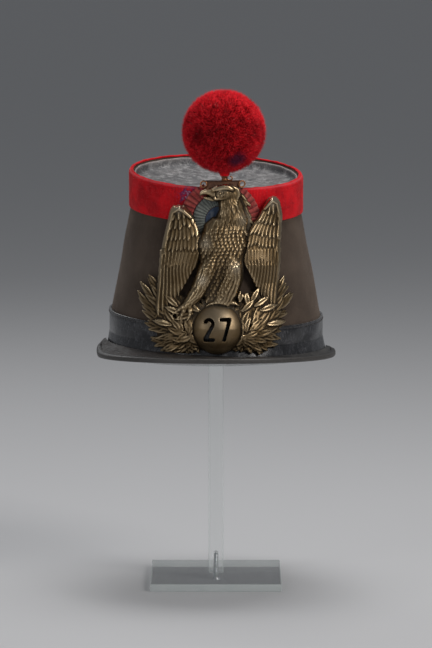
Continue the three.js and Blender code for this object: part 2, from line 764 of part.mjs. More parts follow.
// Body, head, beak and legs of the eagle
const torso = [
  { across: 0.14, up: 0.915, half: 0.13, crest: 0.5 },
  { across: 0.18, up: 0.85, half: 0.17, crest: 0.64 },
  { across: 0.19, up: 0.78, half: 0.23, crest: 0.73 },
  { across: 0.12, up: 0.7, half: 0.31, crest: 0.81 },
  { across: 0.08, up: 0.62, half: 0.33, crest: 0.84 },
  { across: 0.06, up: 0.54, half: 0.28, crest: 0.78 },
  { across: 0.05, up: 0.47, half: 0.21, crest: 0.67 },
  { across: 0.03, up: 0.39, half: 0.12, crest: 0.5 },
];
const head = [
  { across: 0.28, up: 0.925, half: 0.04, crest: 0.35 },
  { across: 0.2, up: 0.946, half: 0.107, crest: 0.62 },
  { across: 0.1, up: 0.951, half: 0.112, crest: 0.72 },
  { across: 0.01, up: 0.943, half: 0.085, crest: 0.62 },
  { across: -0.05, up: 0.938, half: 0.06, crest: 0.5 },
];
const beak = [
  { across: 0, up: 0.946, half: 0.06, crest: 0.52 },
  { across: -0.09, up: 0.951, half: 0.055, crest: 0.48 },
  { across: -0.155, up: 0.946, half: 0.045, crest: 0.42 },
  { across: -0.19, up: 0.929, half: 0.028, crest: 0.36 },
  { across: -0.18, up: 0.907, half: 0, crest: 0.2 },
];
const leftLeg = [
  { across: -0.02, up: 0.56, half: 0.12, crest: 0.84 },
  { across: -0.12, up: 0.48, half: 0.13, crest: 0.96 },
  { across: -0.2, up: 0.41, half: 0.1, crest: 0.86 },
  { across: -0.29, up: 0.34, half: 0.065, crest: 0.68 },
  { across: -0.4, up: 0.275, half: 0.045, crest: 0.55 },
];
const rightLeg = [
  { across: 0.2, up: 0.58, half: 0.12, crest: 0.88 },
  { across: 0.24, up: 0.5, half: 0.13, crest: 1 },
  { across: 0.19, up: 0.43, half: 0.12, crest: 0.95 },
  { across: 0.1, up: 0.365, half: 0.09, crest: 0.82 },
  { across: 0, up: 0.31, half: 0.06, crest: 0.7 },
];

// Wings: the inner and outer edge at each height, and where the long feathers start and end
const leftWing = [
  { up: 0.865, inner: -0.43, outer: -0.49 },
  { up: 0.84, inner: -0.35, outer: -0.53 },
  { up: 0.78, inner: -0.24, outer: -0.6 },
  { up: 0.7, inner: -0.2, outer: -0.655 },
  { up: 0.59, inner: -0.2, outer: -0.708 },
  { up: 0.5, inner: -0.26, outer: -0.722 },
  { up: 0.42, inner: -0.35, outer: -0.735 },
  { up: 0.34, inner: -0.47, outer: -0.755 },
  { up: 0.27, inner: -0.59, outer: -0.775 },
  { up: 0.21, inner: -0.76, outer: -0.785 },
];
const rightWing = [
  { up: 0.902, inner: 0.69, outer: 0.74 },
  { up: 0.87, inner: 0.63, outer: 0.8 },
  { up: 0.8, inner: 0.54, outer: 0.842 },
  { up: 0.71, inner: 0.4, outer: 0.84 },
  { up: 0.62, inner: 0.35, outer: 0.828 },
  { up: 0.54, inner: 0.35, outer: 0.82 },
  { up: 0.45, inner: 0.44, outer: 0.806 },
  { up: 0.36, inner: 0.53, outer: 0.786 },
  { up: 0.28, inner: 0.67, outer: 0.776 },
  { up: 0.235, inner: 0.755, outer: 0.77 },
];

// Rows of feathers on a wing, from the longest below to the shortest above
const featherRows = [
  { count: 5, start: 0.7, length: 0, crest: 0.52 },
  { count: 3, start: 0.78, length: 0.15, crest: 0.6 },
];

function wingForms(edges) {
  const sheetRows = edges.map(({ up, inner, outer }) => ({
    across: (inner + outer) / 2,
    up,
    half: Math.abs(outer - inner) / 2,
    crest: 0.34,
  }));
  const forms = [raised(sheetRows, 4, { edge: SHEET_THICKNESS, foot: WING_SEAT, level: true })];
  const across = (up, share) => lerp(tableAt(edges, "up", up, "inner"), tableAt(edges, "up", up, "outer"), share);
  const lowest = edges[edges.length - 1].up;
  for (const { count, start, length, crest } of featherRows) {
    for (let k = 0; k < count; k++) {
      const share = (k + 0.5) / count;
      const end = length ? start - length : lerp(0.47, lowest + 0.01, share);
      const foot = across(end, length ? share : 0.35);
      const from = across(start, share);
      const half = (0.62 * Math.abs(across(start, 1) - across(start, 0))) / count;
      const rows = [
        { across: from, up: start, half, crest: crest - 0.08 },
        { across: lerp(from, foot, 0.4), up: lerp(start, end, 0.5), half, crest },
        { across: foot, up: end, half: 0, crest: 0.1 },
      ];
      forms.push(raised(rows, 2, { foot: WING_SEAT + SHEET_SEAT }));
    }
  }
  return forms;
}

// Laurel: leaves fan out from a middle on each side. The reach is a share of the plate's half width.
const leftFan = {
  across: -0.33,
  up: 0.12,
  reaches: [
    { angle: 112, reach: 0.62 },
    { angle: 121, reach: 0.92 },
    { angle: 137, reach: 0.92 },
    { angle: 148, reach: 0.78 },
    { angle: 162, reach: 0.63 },
    { angle: 180, reach: 0.53 },
    { angle: 198, reach: 0.52 },
    { angle: 218, reach: 0.44 },
    { angle: 250, reach: 0.27 },
    { angle: 292, reach: 0.26 },
  ],
};
const rightFan = {
  across: 0.36,
  up: 0.12,
  reaches: [
    { angle: 66, reach: 0.62 },
    { angle: 55, reach: 0.94 },
    { angle: 42, reach: 0.86 },
    { angle: 28, reach: 0.66 },
    { angle: 14, reach: 0.53 },
    { angle: 0, reach: 0.52 },
    { angle: -19, reach: 0.46 },
    { angle: -41, reach: 0.38 },
    { angle: -78, reach: 0.26 },
    { angle: -118, reach: 0.26 },
  ],
};

// Rings of leaves, the outer ring lowest
const leafRings = [
  { count: 8, share: 1, length: 0.36, half: 0.073, crest: 0.4 },
  { count: 5, share: 0.68, length: 0.34, half: 0.074, crest: 0.5 },
];

function fanForms({ across, up, reaches }) {
  const forms = [];
  const first = reaches[0].angle;
  const last = reaches[reaches.length - 1].angle;
  const upPerAcross = PLATE_HALF_WIDTH / PLATE_HEIGHT;
  const at = (angle, reach) => ({
    across: across + reach * Math.cos(angle),
    up: up + reach * Math.sin(angle) * upPerAcross,
  });
  for (const { count, share, length, half, crest } of leafRings) {
    for (let k = 0; k < count; k++) {
      const degrees = lerp(first, last, (k + 0.5) / count);
      const angle = THREE.MathUtils.degToRad(degrees);
      const reach = tableAt(reaches, "angle", degrees, "reach") * share;
      const foot = Math.max(0, reach - length);
      forms.push(
        raised(
          [
            { ...at(angle, foot), half: 0.5 * half, crest: 0.6 * crest },
            { ...at(angle, lerp(foot, reach, 0.5)), half, crest },
            { ...at(angle, reach), half: 0, crest: 0.1 },
          ],
          2,
          { foot: FAN_SEAT + SHEET_SEAT },
        ),
      );
    }
  }
  const sheet = [];
  for (let k = 0; k < 10; k++) {
    const degrees = lerp(first, last, k / 9);
    const angle = THREE.MathUtils.degToRad(degrees);
    const reach = 0.7 * tableAt(reaches, "angle", degrees, "reach");
    sheet.push({ angle, reach });
  }
  return [...forms, fanSheet(sheet, at)];
}

// The thin sheet under a fan's leaves
function fanSheet(edge, at) {
  const shares = [0, 0.25, 0.5, 0.75, 1];
  const sections = edge.map(({ angle, reach }) => {
    const places = shares.map((share) => at(angle, share * reach));
    const lift = (rise) => ({ across, up }) => {
      return platePoint(across * PLATE_HALF_WIDTH, PLATE_FOOT + up * PLATE_HEIGHT, rise);
    };
    const face = places.map(lift(FAN_SEAT + SHEET_THICKNESS));
    return [...face, ...places.map(lift(FAN_SEAT)).reverse()];
  });
  return loft(sections, false);
}

// Ball under the eagle: a thin dome with a plain two-figure number cut through it
function ballDome(radius, height, foot) {
  const rows = [{ radius: 0, rise: foot }, { radius, rise: foot }];
  for (let i = 1; i <= 4; i++) {
    const angle = (Math.PI / 2) * (i / 4);
    rows.push({ radius: radius * Math.cos(angle), rise: height * Math.sin(angle) });
  }
  return roundForm(20, () => rows, (x, z, rise) => platePoint(BALL_X + x, BALL_HEIGHT + z, rise));
}

function digitTwo() {
  const bowl = DIGIT_WIDTH / 2;
  const top = DIGIT_HEIGHT - bowl;
  const shape = new THREE.Shape();
  shape.moveTo(0, 0);
  shape.lineTo(DIGIT_WIDTH, 0);
  shape.lineTo(DIGIT_WIDTH, DIGIT_STROKE);
  shape.lineTo(1.3 * DIGIT_STROKE, DIGIT_STROKE);
  shape.absarc(bowl, top, bowl, -0.6, Math.PI, false);
  shape.lineTo(DIGIT_STROKE, top);
  shape.absarc(bowl, top, bowl - DIGIT_STROKE, Math.PI, -0.6, true);
  shape.lineTo(0, DIGIT_STROKE);
  shape.closePath();
  return shape;
}

function digitSeven() {
  const shape = new THREE.Shape();
  shape.moveTo(0.2 * DIGIT_WIDTH, 0);
  shape.lineTo(0.2 * DIGIT_WIDTH + DIGIT_STROKE, 0);
  shape.lineTo(DIGIT_WIDTH, DIGIT_HEIGHT - DIGIT_STROKE);
  shape.lineTo(DIGIT_WIDTH, DIGIT_HEIGHT);
  shape.lineTo(0, DIGIT_HEIGHT);
  shape.lineTo(0, DIGIT_HEIGHT - DIGIT_STROKE);
  shape.lineTo(DIGIT_WIDTH - DIGIT_STROKE, DIGIT_HEIGHT - DIGIT_STROKE);
  shape.closePath();
  return shape;
}

// A straight cutter through the front, from an outline seen from in front
function cutter(shape, x, z) {
  const depth = 2 * FOOT_HALF_DEPTH;
  const form = new THREE.ExtrudeGeometry(shape, { depth, bevelEnabled: false, curveSegments: 5 });
  form.rotateX(Math.PI / 2).translate(x, 0, z);
  return toSolid(form);
}

const gaps = [
  [[-0.262, 0.51], [-0.46, 0.345], [-0.4, 0.325]],
  [[0.335, 0.545], [0.305, 0.38], [0.48, 0.35]],
];

function plateForm() {
  const forms = [
    raised(torso, 5),
    raised(head, 4, { foot: SHEET_SEAT }),
    raised(beak, 2),
    raised(leftLeg, 4, { foot: SHEET_SEAT }),
    raised(rightLeg, 4, { foot: SHEET_SEAT }),
    ...wingForms(leftWing),
    ...wingForms(rightWing),
    ...fanForms(leftFan),
    ...fanForms(rightFan),
    ballDome(BALL_RADIUS, BALL_RISE, 0),
  ];
  const hollow = toSolid(ballDome(BALL_RADIUS - BALL_WALL, BALL_RISE - BALL_WALL, -BALL_WALL));
  let plate = joined(forms).subtract(hollow);
  const figuresLeft = BALL_X - DIGIT_WIDTH - DIGIT_SPACE / 2;
  const figuresFoot = BALL_HEIGHT - DIGIT_HEIGHT / 2;
  plate = plate.subtract(cutter(digitTwo(), figuresLeft, figuresFoot));
  plate = plate.subtract(cutter(digitSeven(), BALL_X + DIGIT_SPACE / 2, figuresFoot));
  for (const gap of gaps) {
    const corners = gap.map(([across, up]) => new THREE.Vector2(across * PLATE_HALF_WIDTH, up * PLATE_HEIGHT));
    plate = plate.subtract(cutter(new THREE.Shape(corners), 0, PLATE_FOOT));
  }
  const peakTop = PEAK_ROOT_HEIGHT + PLATE_GAP;
  const below = new THREE.Shape([
    new THREE.Vector2(-2 * PLATE_HALF_WIDTH, peakTop + 2 * PLATE_HALF_WIDTH * SIDE_SLOPE),
    new THREE.Vector2(-2 * PLATE_HALF_WIDTH, -PLATE_HEIGHT),
    new THREE.Vector2(2 * PLATE_HALF_WIDTH, -PLATE_HEIGHT),
    new THREE.Vector2(2 * PLATE_HALF_WIDTH, peakTop - 2 * PLATE_HALF_WIDTH * SIDE_SLOPE),
  ]);
  return toTidyGeometry(plate.subtract(cutter(below, 0, 0)));
}
addPiece(hat, "eagle_plate", plateForm(), brass);

export default model;
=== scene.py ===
# A felt shako with a brass eagle plate, a pleated cockade and a wool pompon, on a clear acrylic stand.
# Metres, +Z up, the front of the hat faces -Y. Hat sizes below are in millimetres from the foot of the felt.
import math

import bpy
import numpy as np
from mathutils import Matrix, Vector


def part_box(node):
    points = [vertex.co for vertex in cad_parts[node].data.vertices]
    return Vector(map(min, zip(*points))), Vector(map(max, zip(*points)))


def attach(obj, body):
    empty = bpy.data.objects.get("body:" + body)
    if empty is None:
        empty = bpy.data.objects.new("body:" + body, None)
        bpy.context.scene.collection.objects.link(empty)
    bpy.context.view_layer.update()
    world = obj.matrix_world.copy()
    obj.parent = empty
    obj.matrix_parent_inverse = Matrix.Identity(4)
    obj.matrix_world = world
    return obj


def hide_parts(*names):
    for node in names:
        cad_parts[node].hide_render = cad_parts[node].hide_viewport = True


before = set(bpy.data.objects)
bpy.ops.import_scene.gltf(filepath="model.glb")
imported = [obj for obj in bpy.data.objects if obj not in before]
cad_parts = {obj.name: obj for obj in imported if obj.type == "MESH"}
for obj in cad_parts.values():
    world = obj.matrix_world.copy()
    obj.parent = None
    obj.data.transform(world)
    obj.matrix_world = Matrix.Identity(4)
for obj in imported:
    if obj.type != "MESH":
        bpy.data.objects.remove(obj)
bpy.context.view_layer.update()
MM = 0.001

# Camera, floor and light
# The camera looks slightly down at the front of the hat from across a room, as the photograph does.
# A plain pale floor runs back out of sight, under one broad key light at the right and softer light around.
CAMERA_DISTANCE = 3.517
CAMERA_HEIGHT = 0.617
CAMERA_PITCH = math.radians(6.39)
CAMERA_LENS = 227.8
FLOOR_HALF_WIDTH = 60
FLOOR_COLOUR = (0.56, 0.56, 0.57, 1)
SOFT_LIGHTS = (
    # name, place, aimed at, width, height, power, colour
    ("key_light", (1.5, -1.5, 1.5), (0, -0.05, 0.3), 0.9, 0.9, 26, (1.0, 0.97, 0.94)),
    ("left_fill", (-1.6, -1.7, 0.9), (0, 0, 0.3), 0.5, 1.3, 7, (0.95, 0.97, 1.0)),
    ("top_light", (0.1, 0.2, 1.9), (0, 0, 0.3), 1.0, 0.8, 15, (1, 1, 1)),
    ("back_light", (-0.9, 1.5, 1.3), (0, 0, 0.35), 0.7, 0.9, 3.5, (1, 1, 1)),
)

scene = bpy.context.scene
scene.view_settings.view_transform = "Standard"

camera_data = bpy.data.cameras.new("camera")
camera_data.lens = CAMERA_LENS
camera_data.clip_end = 50
camera = bpy.data.objects.new("camera", camera_data)
camera.location = (0, -CAMERA_DISTANCE, CAMERA_HEIGHT)
camera.rotation_euler = (math.pi / 2 - CAMERA_PITCH, 0, 0)
scene.collection.objects.link(camera)
scene.camera = camera


def link_mesh(name, points, faces):
    """Makes an object of a mesh from points in metres and faces, shaded smooth."""
    mesh = bpy.data.meshes.new(name)
    mesh.from_pydata(np.asarray(points, float).tolist(), [], [tuple(map(int, face)) for face in faces])
    mesh.shade_smooth()
    mesh.update()
    piece = bpy.data.objects.new(name, mesh)
    scene.collection.objects.link(piece)
    return piece


def node_in(tree, kind, inputs=(), **settings):
    """Adds a node to a tree. Inputs are values, or sockets to link."""
    node = tree.nodes.new(kind)
    for key, value in settings.items():
        setattr(node, key, value)
    for key, value in dict(inputs).items():
        if isinstance(value, bpy.types.NodeSocket):
            tree.links.new(value, node.inputs[key])
        else:
            node.inputs[key].default_value = value
    return node


def new_finish(name, colour=(0.5, 0.5, 0.5, 1), **sockets):
    """A material with one main shader, and its tree and shader."""
    finish = bpy.data.materials.new(name)
    finish.use_nodes = True
    tree = finish.node_tree
    shader = tree.nodes["Principled BSDF"]
    shader.inputs["Base Color"].default_value = colour
    for key, value in sockets.items():
        shader.inputs[key.replace("_", " ").title().replace("Ior", "IOR")].default_value = value
    return finish, tree, shader


floor_corners = [(x, y, 0) for x, y in ((-1, -1), (1, -1), (1, 1), (-1, 1))]
floor = link_mesh("floor", np.array(floor_corners) * FLOOR_HALF_WIDTH, [(0, 1, 2, 3)])
floor.data.materials.append(new_finish("pale_floor", FLOOR_COLOUR, roughness=0.7)[0])

for name, place, aim, width, height, power, colour in SOFT_LIGHTS:
    light_data = bpy.data.lights.new(name, "AREA")
    light_data.shape = "RECTANGLE"
    light_data.size = width
    light_data.size_y = height
    light_data.energy = power
    light_data.color = colour
    light = bpy.data.objects.new(name, light_data)
    light.location = place
    away = np.array(place) - np.array(aim)
    flat_reach = math.hypot(away[0], away[1])
    light.rotation_euler = (math.atan2(flat_reach, away[2]), 0, math.atan2(away[0], -away[1]))
    scene.collection.objects.link(light)

world = bpy.data.worlds.new("soft_room")
world.use_nodes = True
world.node_tree.nodes["Background"].inputs["Color"].default_value = (0.75, 0.78, 0.82, 1)
world.node_tree.nodes["Background"].inputs["Strength"].default_value = 0.22
scene.world = world

# Stand base, post and disc
# Sawn and polished clear acrylic: a bored base plate, a square post, and a disc cemented on top.
# Their edges are lightly broken, and a pale colour is painted on them as highlight lines.
BASE_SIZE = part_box("stand_base")
POST_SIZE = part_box("stand_post")
DISC_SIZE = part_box("stand_disc")
SCREW_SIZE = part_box("stand_screw")
EDGE_BREAK = 0.5
SHARP_ANGLE = math.radians(25)
SCREW_RADIUS = 1.85
SCREW_LENGTH = SCREW_SIZE[1][2] / MM
SCREW_HEAD_RADIUS = 4
SCREW_HEAD_HEIGHT = 2.2
SCREW_ROOM = 0.3
THREAD_PITCH = 1.4
THREAD_DEPTH = 0.3


def grid_faces(rows, columns, wrap_rows=False, wrap_columns=False):
    """Faces of a grid of points, rows by columns, that may close on itself either way."""
    i = np.arange(rows if wrap_rows else rows - 1)[:, None]
    j = np.arange(columns if wrap_columns else columns - 1)[None, :]
    i_next = (i + 1) % rows
    j_next = (j + 1) % columns
    corners = (i * columns + j, i * columns + j_next, i_next * columns + j_next, i_next * columns + j)
    return np.stack(np.broadcast_arrays(*corners), -1).reshape(-1, 4)


def turn_outwards(piece):
    """Turns a closed piece's faces out if they point in."""
    mesh = piece.data
    points = np.zeros(len(mesh.vertices) * 3)
    mesh.vertices.foreach_get("co", points)
    points = points.reshape(-1, 3)
    mesh.calc_loop_triangles()
    corners = np.zeros(len(mesh.loop_triangles) * 3, dtype=np.int32)
    mesh.loop_triangles.foreach_get("vertices", corners)
    a, b, c = (points[corners[k::3]] for k in range(3))
    if np.einsum("ij,ij->", a, np.cross(b, c)) < 0:
        mesh.flip_normals()


def place_piece(piece, finish, node_names):
    """Gives a finished piece its material, and puts it in place of its CAD nodes."""
    if finish is not None:
        piece.data.materials.clear()
        piece.data.materials.append(finish)
    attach(piece, "root")
    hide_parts(*node_names)


def mapped_in(tree, vector, scale=(1, 1, 1), moved=(0, 0, 0)):
    """A vector stretched and moved, for a pattern that runs one way or lies elsewhere."""
    inputs = {"Vector": vector, "Location": moved, "Scale": scale}
    return node_in(tree, "ShaderNodeMapping", inputs).outputs[0]


def place_in(tree):
    """Object coordinates in millimetres, for a pattern of real size."""
    return mapped_in(tree, node_in(tree, "ShaderNodeTexCoord").outputs["Object"], (1 / MM,) * 3)


def noise_in(tree, vector, scale, detail=3.0, roughness=0.55, distortion=0.0):
    """A noise value from 0 to 1 over a vector."""
    inputs = {"Vector": vector, "Scale": scale, "Detail": detail, "Roughness": roughness}
    inputs["Distortion"] = distortion
    return node_in(tree, "ShaderNodeTexNoise", inputs).outputs["Fac"]


def range_in(tree, value, low, high, to_low=0.0, to_high=1.0):
    """Stretches a value from low and high to a new range, clamped."""
    inputs = {"Value": value, "From Min": low, "From Max": high, "To Min": to_low, "To Max": to_high}
    return node_in(tree, "ShaderNodeMapRange", inputs).outputs[0]


def blend_in(tree, share, first, second):
    """Mixes two colours by a share."""
    node = node_in(tree, "ShaderNodeMix", data_type="RGBA")
    for index, value in ((0, share), (6, first), (7, second)):
        if isinstance(value, bpy.types.NodeSocket):
            tree.links.new(value, node.inputs[index])
        else:
            node.inputs[index].default_value = value
    return node.outputs[2]


def maths_in(tree, way, first, second=0.0, third=0.0):
    """One step of arithmetic on values."""
    return node_in(tree, "ShaderNodeMath", {0: first, 1: second, 2: third}, operation=way).outputs[0]


def feed(shader, socket, value):
    """Links a value to one of a shader's sockets."""
    shader.id_data.links.new(value, shader.inputs[socket])


def bump_in(tree, shader, height, distance, strength=1.0, under=None):
    """Bumps a shader by a height, over an earlier bump if there is one. The distance is in millimetres."""
    inputs = {"Height": height, "Distance": distance * MM, "Strength": strength}
    if under is not None:
        inputs["Normal"] = under
    normal = node_in(tree, "ShaderNodeBump", inputs).outputs[0]
    feed(shader, "Normal", normal)
    return normal


def full_turn(count):
    """Even steps of angle round a full turn, as a column."""
    return np.linspace(0, 2 * math.pi, count, endpoint=False)[:, None]


def turned_piece(name, profile, around, centre=(0, 0)):
    """A closed turned piece about a vertical axis, from radius and height rows that start and end on it."""
    profile = np.array(profile, float)
    angle = full_turn(around)
    middle = profile[1:-1]
    points = [[centre[0], centre[1], profile[0][1]], [centre[0], centre[1], profile[-1][1]]]
    x = centre[0] + np.sin(angle) * middle[None, :, 0]
    y = centre[1] - np.cos(angle) * middle[None, :, 0]
    z = np.broadcast_to(middle[None, :, 1], x.shape)
    points += np.stack([x, y, z], -1).reshape(-1, 3).tolist()
    rows = len(middle)
    faces = (grid_faces(around, rows, True, False) + 2).tolist()
    for i in range(around):
        j = (i + 1) % around
        faces.append((0, 2 + i * rows, 2 + j * rows))
        faces.append((1, 2 + j * rows + rows - 1, 2 + i * rows + rows - 1))
    piece = link_mesh(name, np.array(points) * MM, faces)
    turn_outwards(piece)
    return piece


def cut_bore(piece, bore):
    """Cuts a bore out of a piece for good, with its other modifiers, and removes the bore."""
    cut = piece.modifiers.new("bore", "BOOLEAN")
    cut.operation = "DIFFERENCE"
    cut.solver = "EXACT"
    cut.object = bore
    view = bpy.context.evaluated_depsgraph_get()
    settled = bpy.data.meshes.new_from_object(piece.evaluated_get(view))
    piece.modifiers.clear()
    piece.data = settled
    bpy.data.objects.remove(bore)


def acrylic_block(name, box):
    """A block with lightly broken edges and the bore for the screw."""
    (x0, y0, z0), (x1, y1, z1) = box
    corners = [(x, y, z) for z in (z0, z1) for x, y in ((x0, y0), (x1, y0), (x1, y1), (x0, y1))]
    sides = [(0, 3, 2, 1), (4, 5, 6, 7), (0, 1, 5, 4), (1, 2, 6, 5), (2, 3, 7, 6), (3, 0, 4, 7)]
    block = link_mesh(name, corners, sides)
    block.data.materials.append(acrylic)
    block.data.materials.append(acrylic_edge)
    bevel = block.modifiers.new("broken_edges", "BEVEL")
    bevel.material = 1
    bevel.width = EDGE_BREAK * MM
    bevel.segments = 3
    head = SCREW_HEAD_RADIUS + SCREW_ROOM
    shank = SCREW_RADIUS + SCREW_ROOM
    bore_profile = [
        (0, -1),
        (head, -1),
        (head, 0),
        (shank, SCREW_HEAD_HEIGHT + SCREW_ROOM),
        (shank, SCREW_LENGTH + SCREW_ROOM),
        (0, SCREW_LENGTH + SCREW_ROOM + 1),
    ]
    cut_bore(block, turned_piece("screw_bore", bore_profile, 48))
    block.data.shade_smooth()
    block.data.set_sharp_from_angle(angle=SHARP_ANGLE)
    return block


acrylic, tree, shader = new_finish(
    "clear_acrylic", (0.9, 0.94, 0.925, 1), roughness=0.03, ior=1.49, transmission_weight=1, alpha=0.34
)
place = place_in(tree)
scuffs = noise_in(tree, mapped_in(tree, place, (2.5, 0.3, 0.3)), 1.2, 5, 0.7)
feed(shader, "Roughness", range_in(tree, scuffs, 0.55, 0.8, 0.02, 0.3))

# Painted highlight: the broken edges get a pale colour that stands in for light piped along them.
acrylic_edge, tree, shader = new_finish(
    "acrylic_edge", (0.8, 0.86, 0.84, 1), roughness=0.25, ior=1.49, transmission_weight=0.35, alpha=0.62
)
painted_edge_light = noise_in(tree, place_in(tree), 0.05, 2)
feed(shader, "Base Color", blend_in(tree, painted_edge_light, (0.7, 0.8, 0.77, 1), (0.92, 0.95, 0.94, 1)))

base_plate = acrylic_block("base_plate", BASE_SIZE)
# The base plate's sides take the painted highlight colour too.
for face in base_plate.data.polygons:
    if abs(face.normal.z) < 0.2:
        face.material_index = 1
square_post = acrylic_block("square_post", POST_SIZE)
disc_radius = (DISC_SIZE[1][0] - DISC_SIZE[0][0]) / 2 / MM
disc_foot = DISC_SIZE[0][2] / MM
disc_top = DISC_SIZE[1][2] / MM
disc_profile = [(0, disc_foot)]
disc_profile += [(share * disc_radius, disc_foot) for share in (0.3, 0.6, 0.9)]
disc_profile += [(disc_radius - EDGE_BREAK, disc_foot), (disc_radius, disc_foot + EDGE_BREAK)]
disc_profile += [(disc_radius, disc_top - EDGE_BREAK), (disc_radius - EDGE_BREAK, disc_top)]
disc_profile += [(share * disc_radius, disc_top) for share in (0.9, 0.6, 0.3)]
disc_profile += [(0, disc_top)]
round_disc = turned_piece("round_disc", disc_profile, 160)
round_disc.data.set_sharp_from_angle(angle=SHARP_ANGLE)
round_disc.data.materials.append(acrylic)
round_disc.data.materials.append(acrylic_edge)
for face in round_disc.data.polygons:
    face.material_index = int(0.2 < abs(face.normal.z) < 0.9)
place_piece(base_plate, None, ["stand_base"])
place_piece(square_post, None, ["stand_post"])
place_piece(round_disc, None, ["stand_disc"])

# Stand screw
# A zinc-plated countersunk machine screw that comes up through the base into the tapped post.
# Its thread is cut as one continuous spiral, and shows through the acrylic.
SCREW_AROUND = 24
STEPS_PER_THREAD = 10


def closed_faces(around, rows):
    """Faces of rows of points that go right round, closed at both ends."""
    faces = grid_faces(around, rows, True, False).tolist()
    faces.append([i * rows for i in range(around)])
    faces.append([i * rows + rows - 1 for i in reversed(range(around))])
    return faces


thread_steps = int((SCREW_LENGTH - SCREW_HEAD_HEIGHT) / THREAD_PITCH * STEPS_PER_THREAD)
thread_angle = full_turn(SCREW_AROUND)
thread_height = np.linspace(SCREW_HEAD_HEIGHT + 0.4, SCREW_LENGTH - 0.6, thread_steps)[None, :]
turn_share = (thread_height / THREAD_PITCH - thread_angle / (2 * math.pi)) % 1
thread_radius = SCREW_RADIUS - THREAD_DEPTH * np.abs(2 * turn_share - 1)
head_rows = np.array([(0.01, 0.3), (1.1, 0.3), (1.3, 0), (SCREW_HEAD_RADIUS, 0), (SCREW_HEAD_RADIUS, 0.25)])
tip_rows = np.array([
    (SCREW_RADIUS - THREAD_DEPTH, SCREW_LENGTH - 0.3),
    (0.8, SCREW_LENGTH),
    (0.01, SCREW_LENGTH),
])
thread_height = thread_height + 0 * thread_angle
head_rows, tip_rows = (np.tile(rows, (SCREW_AROUND, 1, 1)) for rows in (head_rows, tip_rows))
radii = np.concatenate([head_rows[..., 0], thread_radius, tip_rows[..., 0]], 1)
heights = np.concatenate([head_rows[..., 1], thread_height, tip_rows[..., 1]], 1)
screw_points = np.stack([radii * np.sin(thread_angle), -radii * np.cos(thread_angle), heights], -1)
screw_faces = closed_faces(*radii.shape)
machine_screw = link_mesh("machine_screw", screw_points.reshape(-1, 3) * MM, screw_faces)
turn_outwards(machine_screw)
steel, tree, shader = new_finish("zinc_steel", (0.55, 0.56, 0.58, 1), metallic=1, roughness=0.28)
wear = noise_in(tree, place_in(tree), 1.5, 3)
feed(shader, "Roughness", range_in(tree, wear, 0.3, 0.7, 0.2, 0.42))
place_piece(machine_screw, steel, ["stand_screw"])

# Felt body
# One tapered wall of dark brown wool felt, blocked to an oval and open below.
# Its nap is worn short and dusty, with small pale fibres caught in it.
FOOT_HALF_WIDTH = 90
FOOT_HALF_DEPTH = 103.5
CROWN_HALF_WIDTH = 73
CROWN_HALF_DEPTH = 77.5
CROWN_FORWARD = 7
TAPER_START = 30
TAPER_END = 120
RIM_HEIGHT = 150.8
FELT_THICKNESS = 2.5
RIM_TILT = math.tan(math.radians(6.5))
SIDE_SLOPE = math.tan(math.radians(2))
LEVEL_FOOT = 20
GAP = 0.3
HAT_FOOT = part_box("felt_shell")[0][2] / MM
FELT_EDGE = 0.8
MEAN_RADIUS = 88
UV_PER_MM = 0.01
DENTS_FOOT = 40
DENTS_TOP = 118
NAP_FOOT = 34
NAP_TOP = 124
NAP_INNER_RADIUS = 71
NAP_PER_SQUARE_MM = 0.22
NAP_LENGTHS = (0.5, 1.7)
FELT_DARK = (0.028, 0.018, 0.013, 1)
FELT_LIGHT = (0.075, 0.054, 0.04, 1)
FELT_FIBRE = (0.2, 0.17, 0.14, 1)


def oval_at(level):
    """Half width, half depth and centre of the felt's oval at a level."""
    share = np.clip((level - TAPER_START) / (TAPER_END - TAPER_START), 0, 1)
    half_width = FOOT_HALF_WIDTH + (CROWN_HALF_WIDTH - FOOT_HALF_WIDTH) * share
    half_depth = FOOT_HALF_DEPTH + (CROWN_HALF_DEPTH - FOOT_HALF_DEPTH) * share
    return half_width, half_depth, -CROWN_FORWARD * share


def leaned(level, x, ahead):
    """Height of a wall point: level at the foot, tilted forward and a little to one side at the rim."""
    side = SIDE_SLOPE * x * np.minimum(1, np.maximum(level, 0) / LEVEL_FOOT)
    return level - RIM_TILT * ahead * level / RIM_HEIGHT - side


def wall_point(angle, level, out, share=1.0):
    """Points of the wall by angle from the front, level, and distance out from the felt's face."""
    half_width, half_depth, centre = oval_at(level)
    x = (half_width + out) * share * np.sin(angle)
    ahead = (half_depth + out) * share * np.cos(angle)
    return np.stack(np.broadcast_arrays(x, centre - ahead, leaned(level, x, ahead)), -1)


def hat_piece(name, points, faces, uv=None, fields=()):
    """A piece of the hat from points in hat millimetres, with an optional UV and named point fields."""
    points = np.asarray(points, float).reshape(-1, 3) + (0, 0, HAT_FOOT)
    piece = link_mesh(name, points * MM, faces)
    mesh = piece.data
    if uv is not None:
        corner_points = np.zeros(len(mesh.loops), dtype=np.int32)
        mesh.loops.foreach_get("vertex_index", corner_points)
        layer = mesh.uv_layers.new(name="surface")
        layer.data.foreach_set("uv", np.asarray(uv, float).reshape(-1, 2)[corner_points].ravel())
    for key, values in dict(fields).items():
        field = mesh.attributes.new(key, "FLOAT", "POINT")
        field.data.foreach_set("value", np.asarray(values, float).ravel())
    return piece


def wall_piece(name, profile_at, around, fields=None):
    """A closed wall right round the hat. profile_at gives levels and outs, each angles by rows."""
    angle = full_turn(around)
    level, out = profile_at(angle)
    points = wall_point(angle, level, out)
    rows = points.shape[1]
    along = np.broadcast_to(angle * MEAN_RADIUS, (around, rows))
    faces = grid_faces(around, rows, True, True)
    uv = np.stack([along, level + 0 * along], -1) * UV_PER_MM
    piece = hat_piece(name, points, faces, uv, fields(angle, level, out) if fields else ())
    turn_outwards(piece)
    return piece


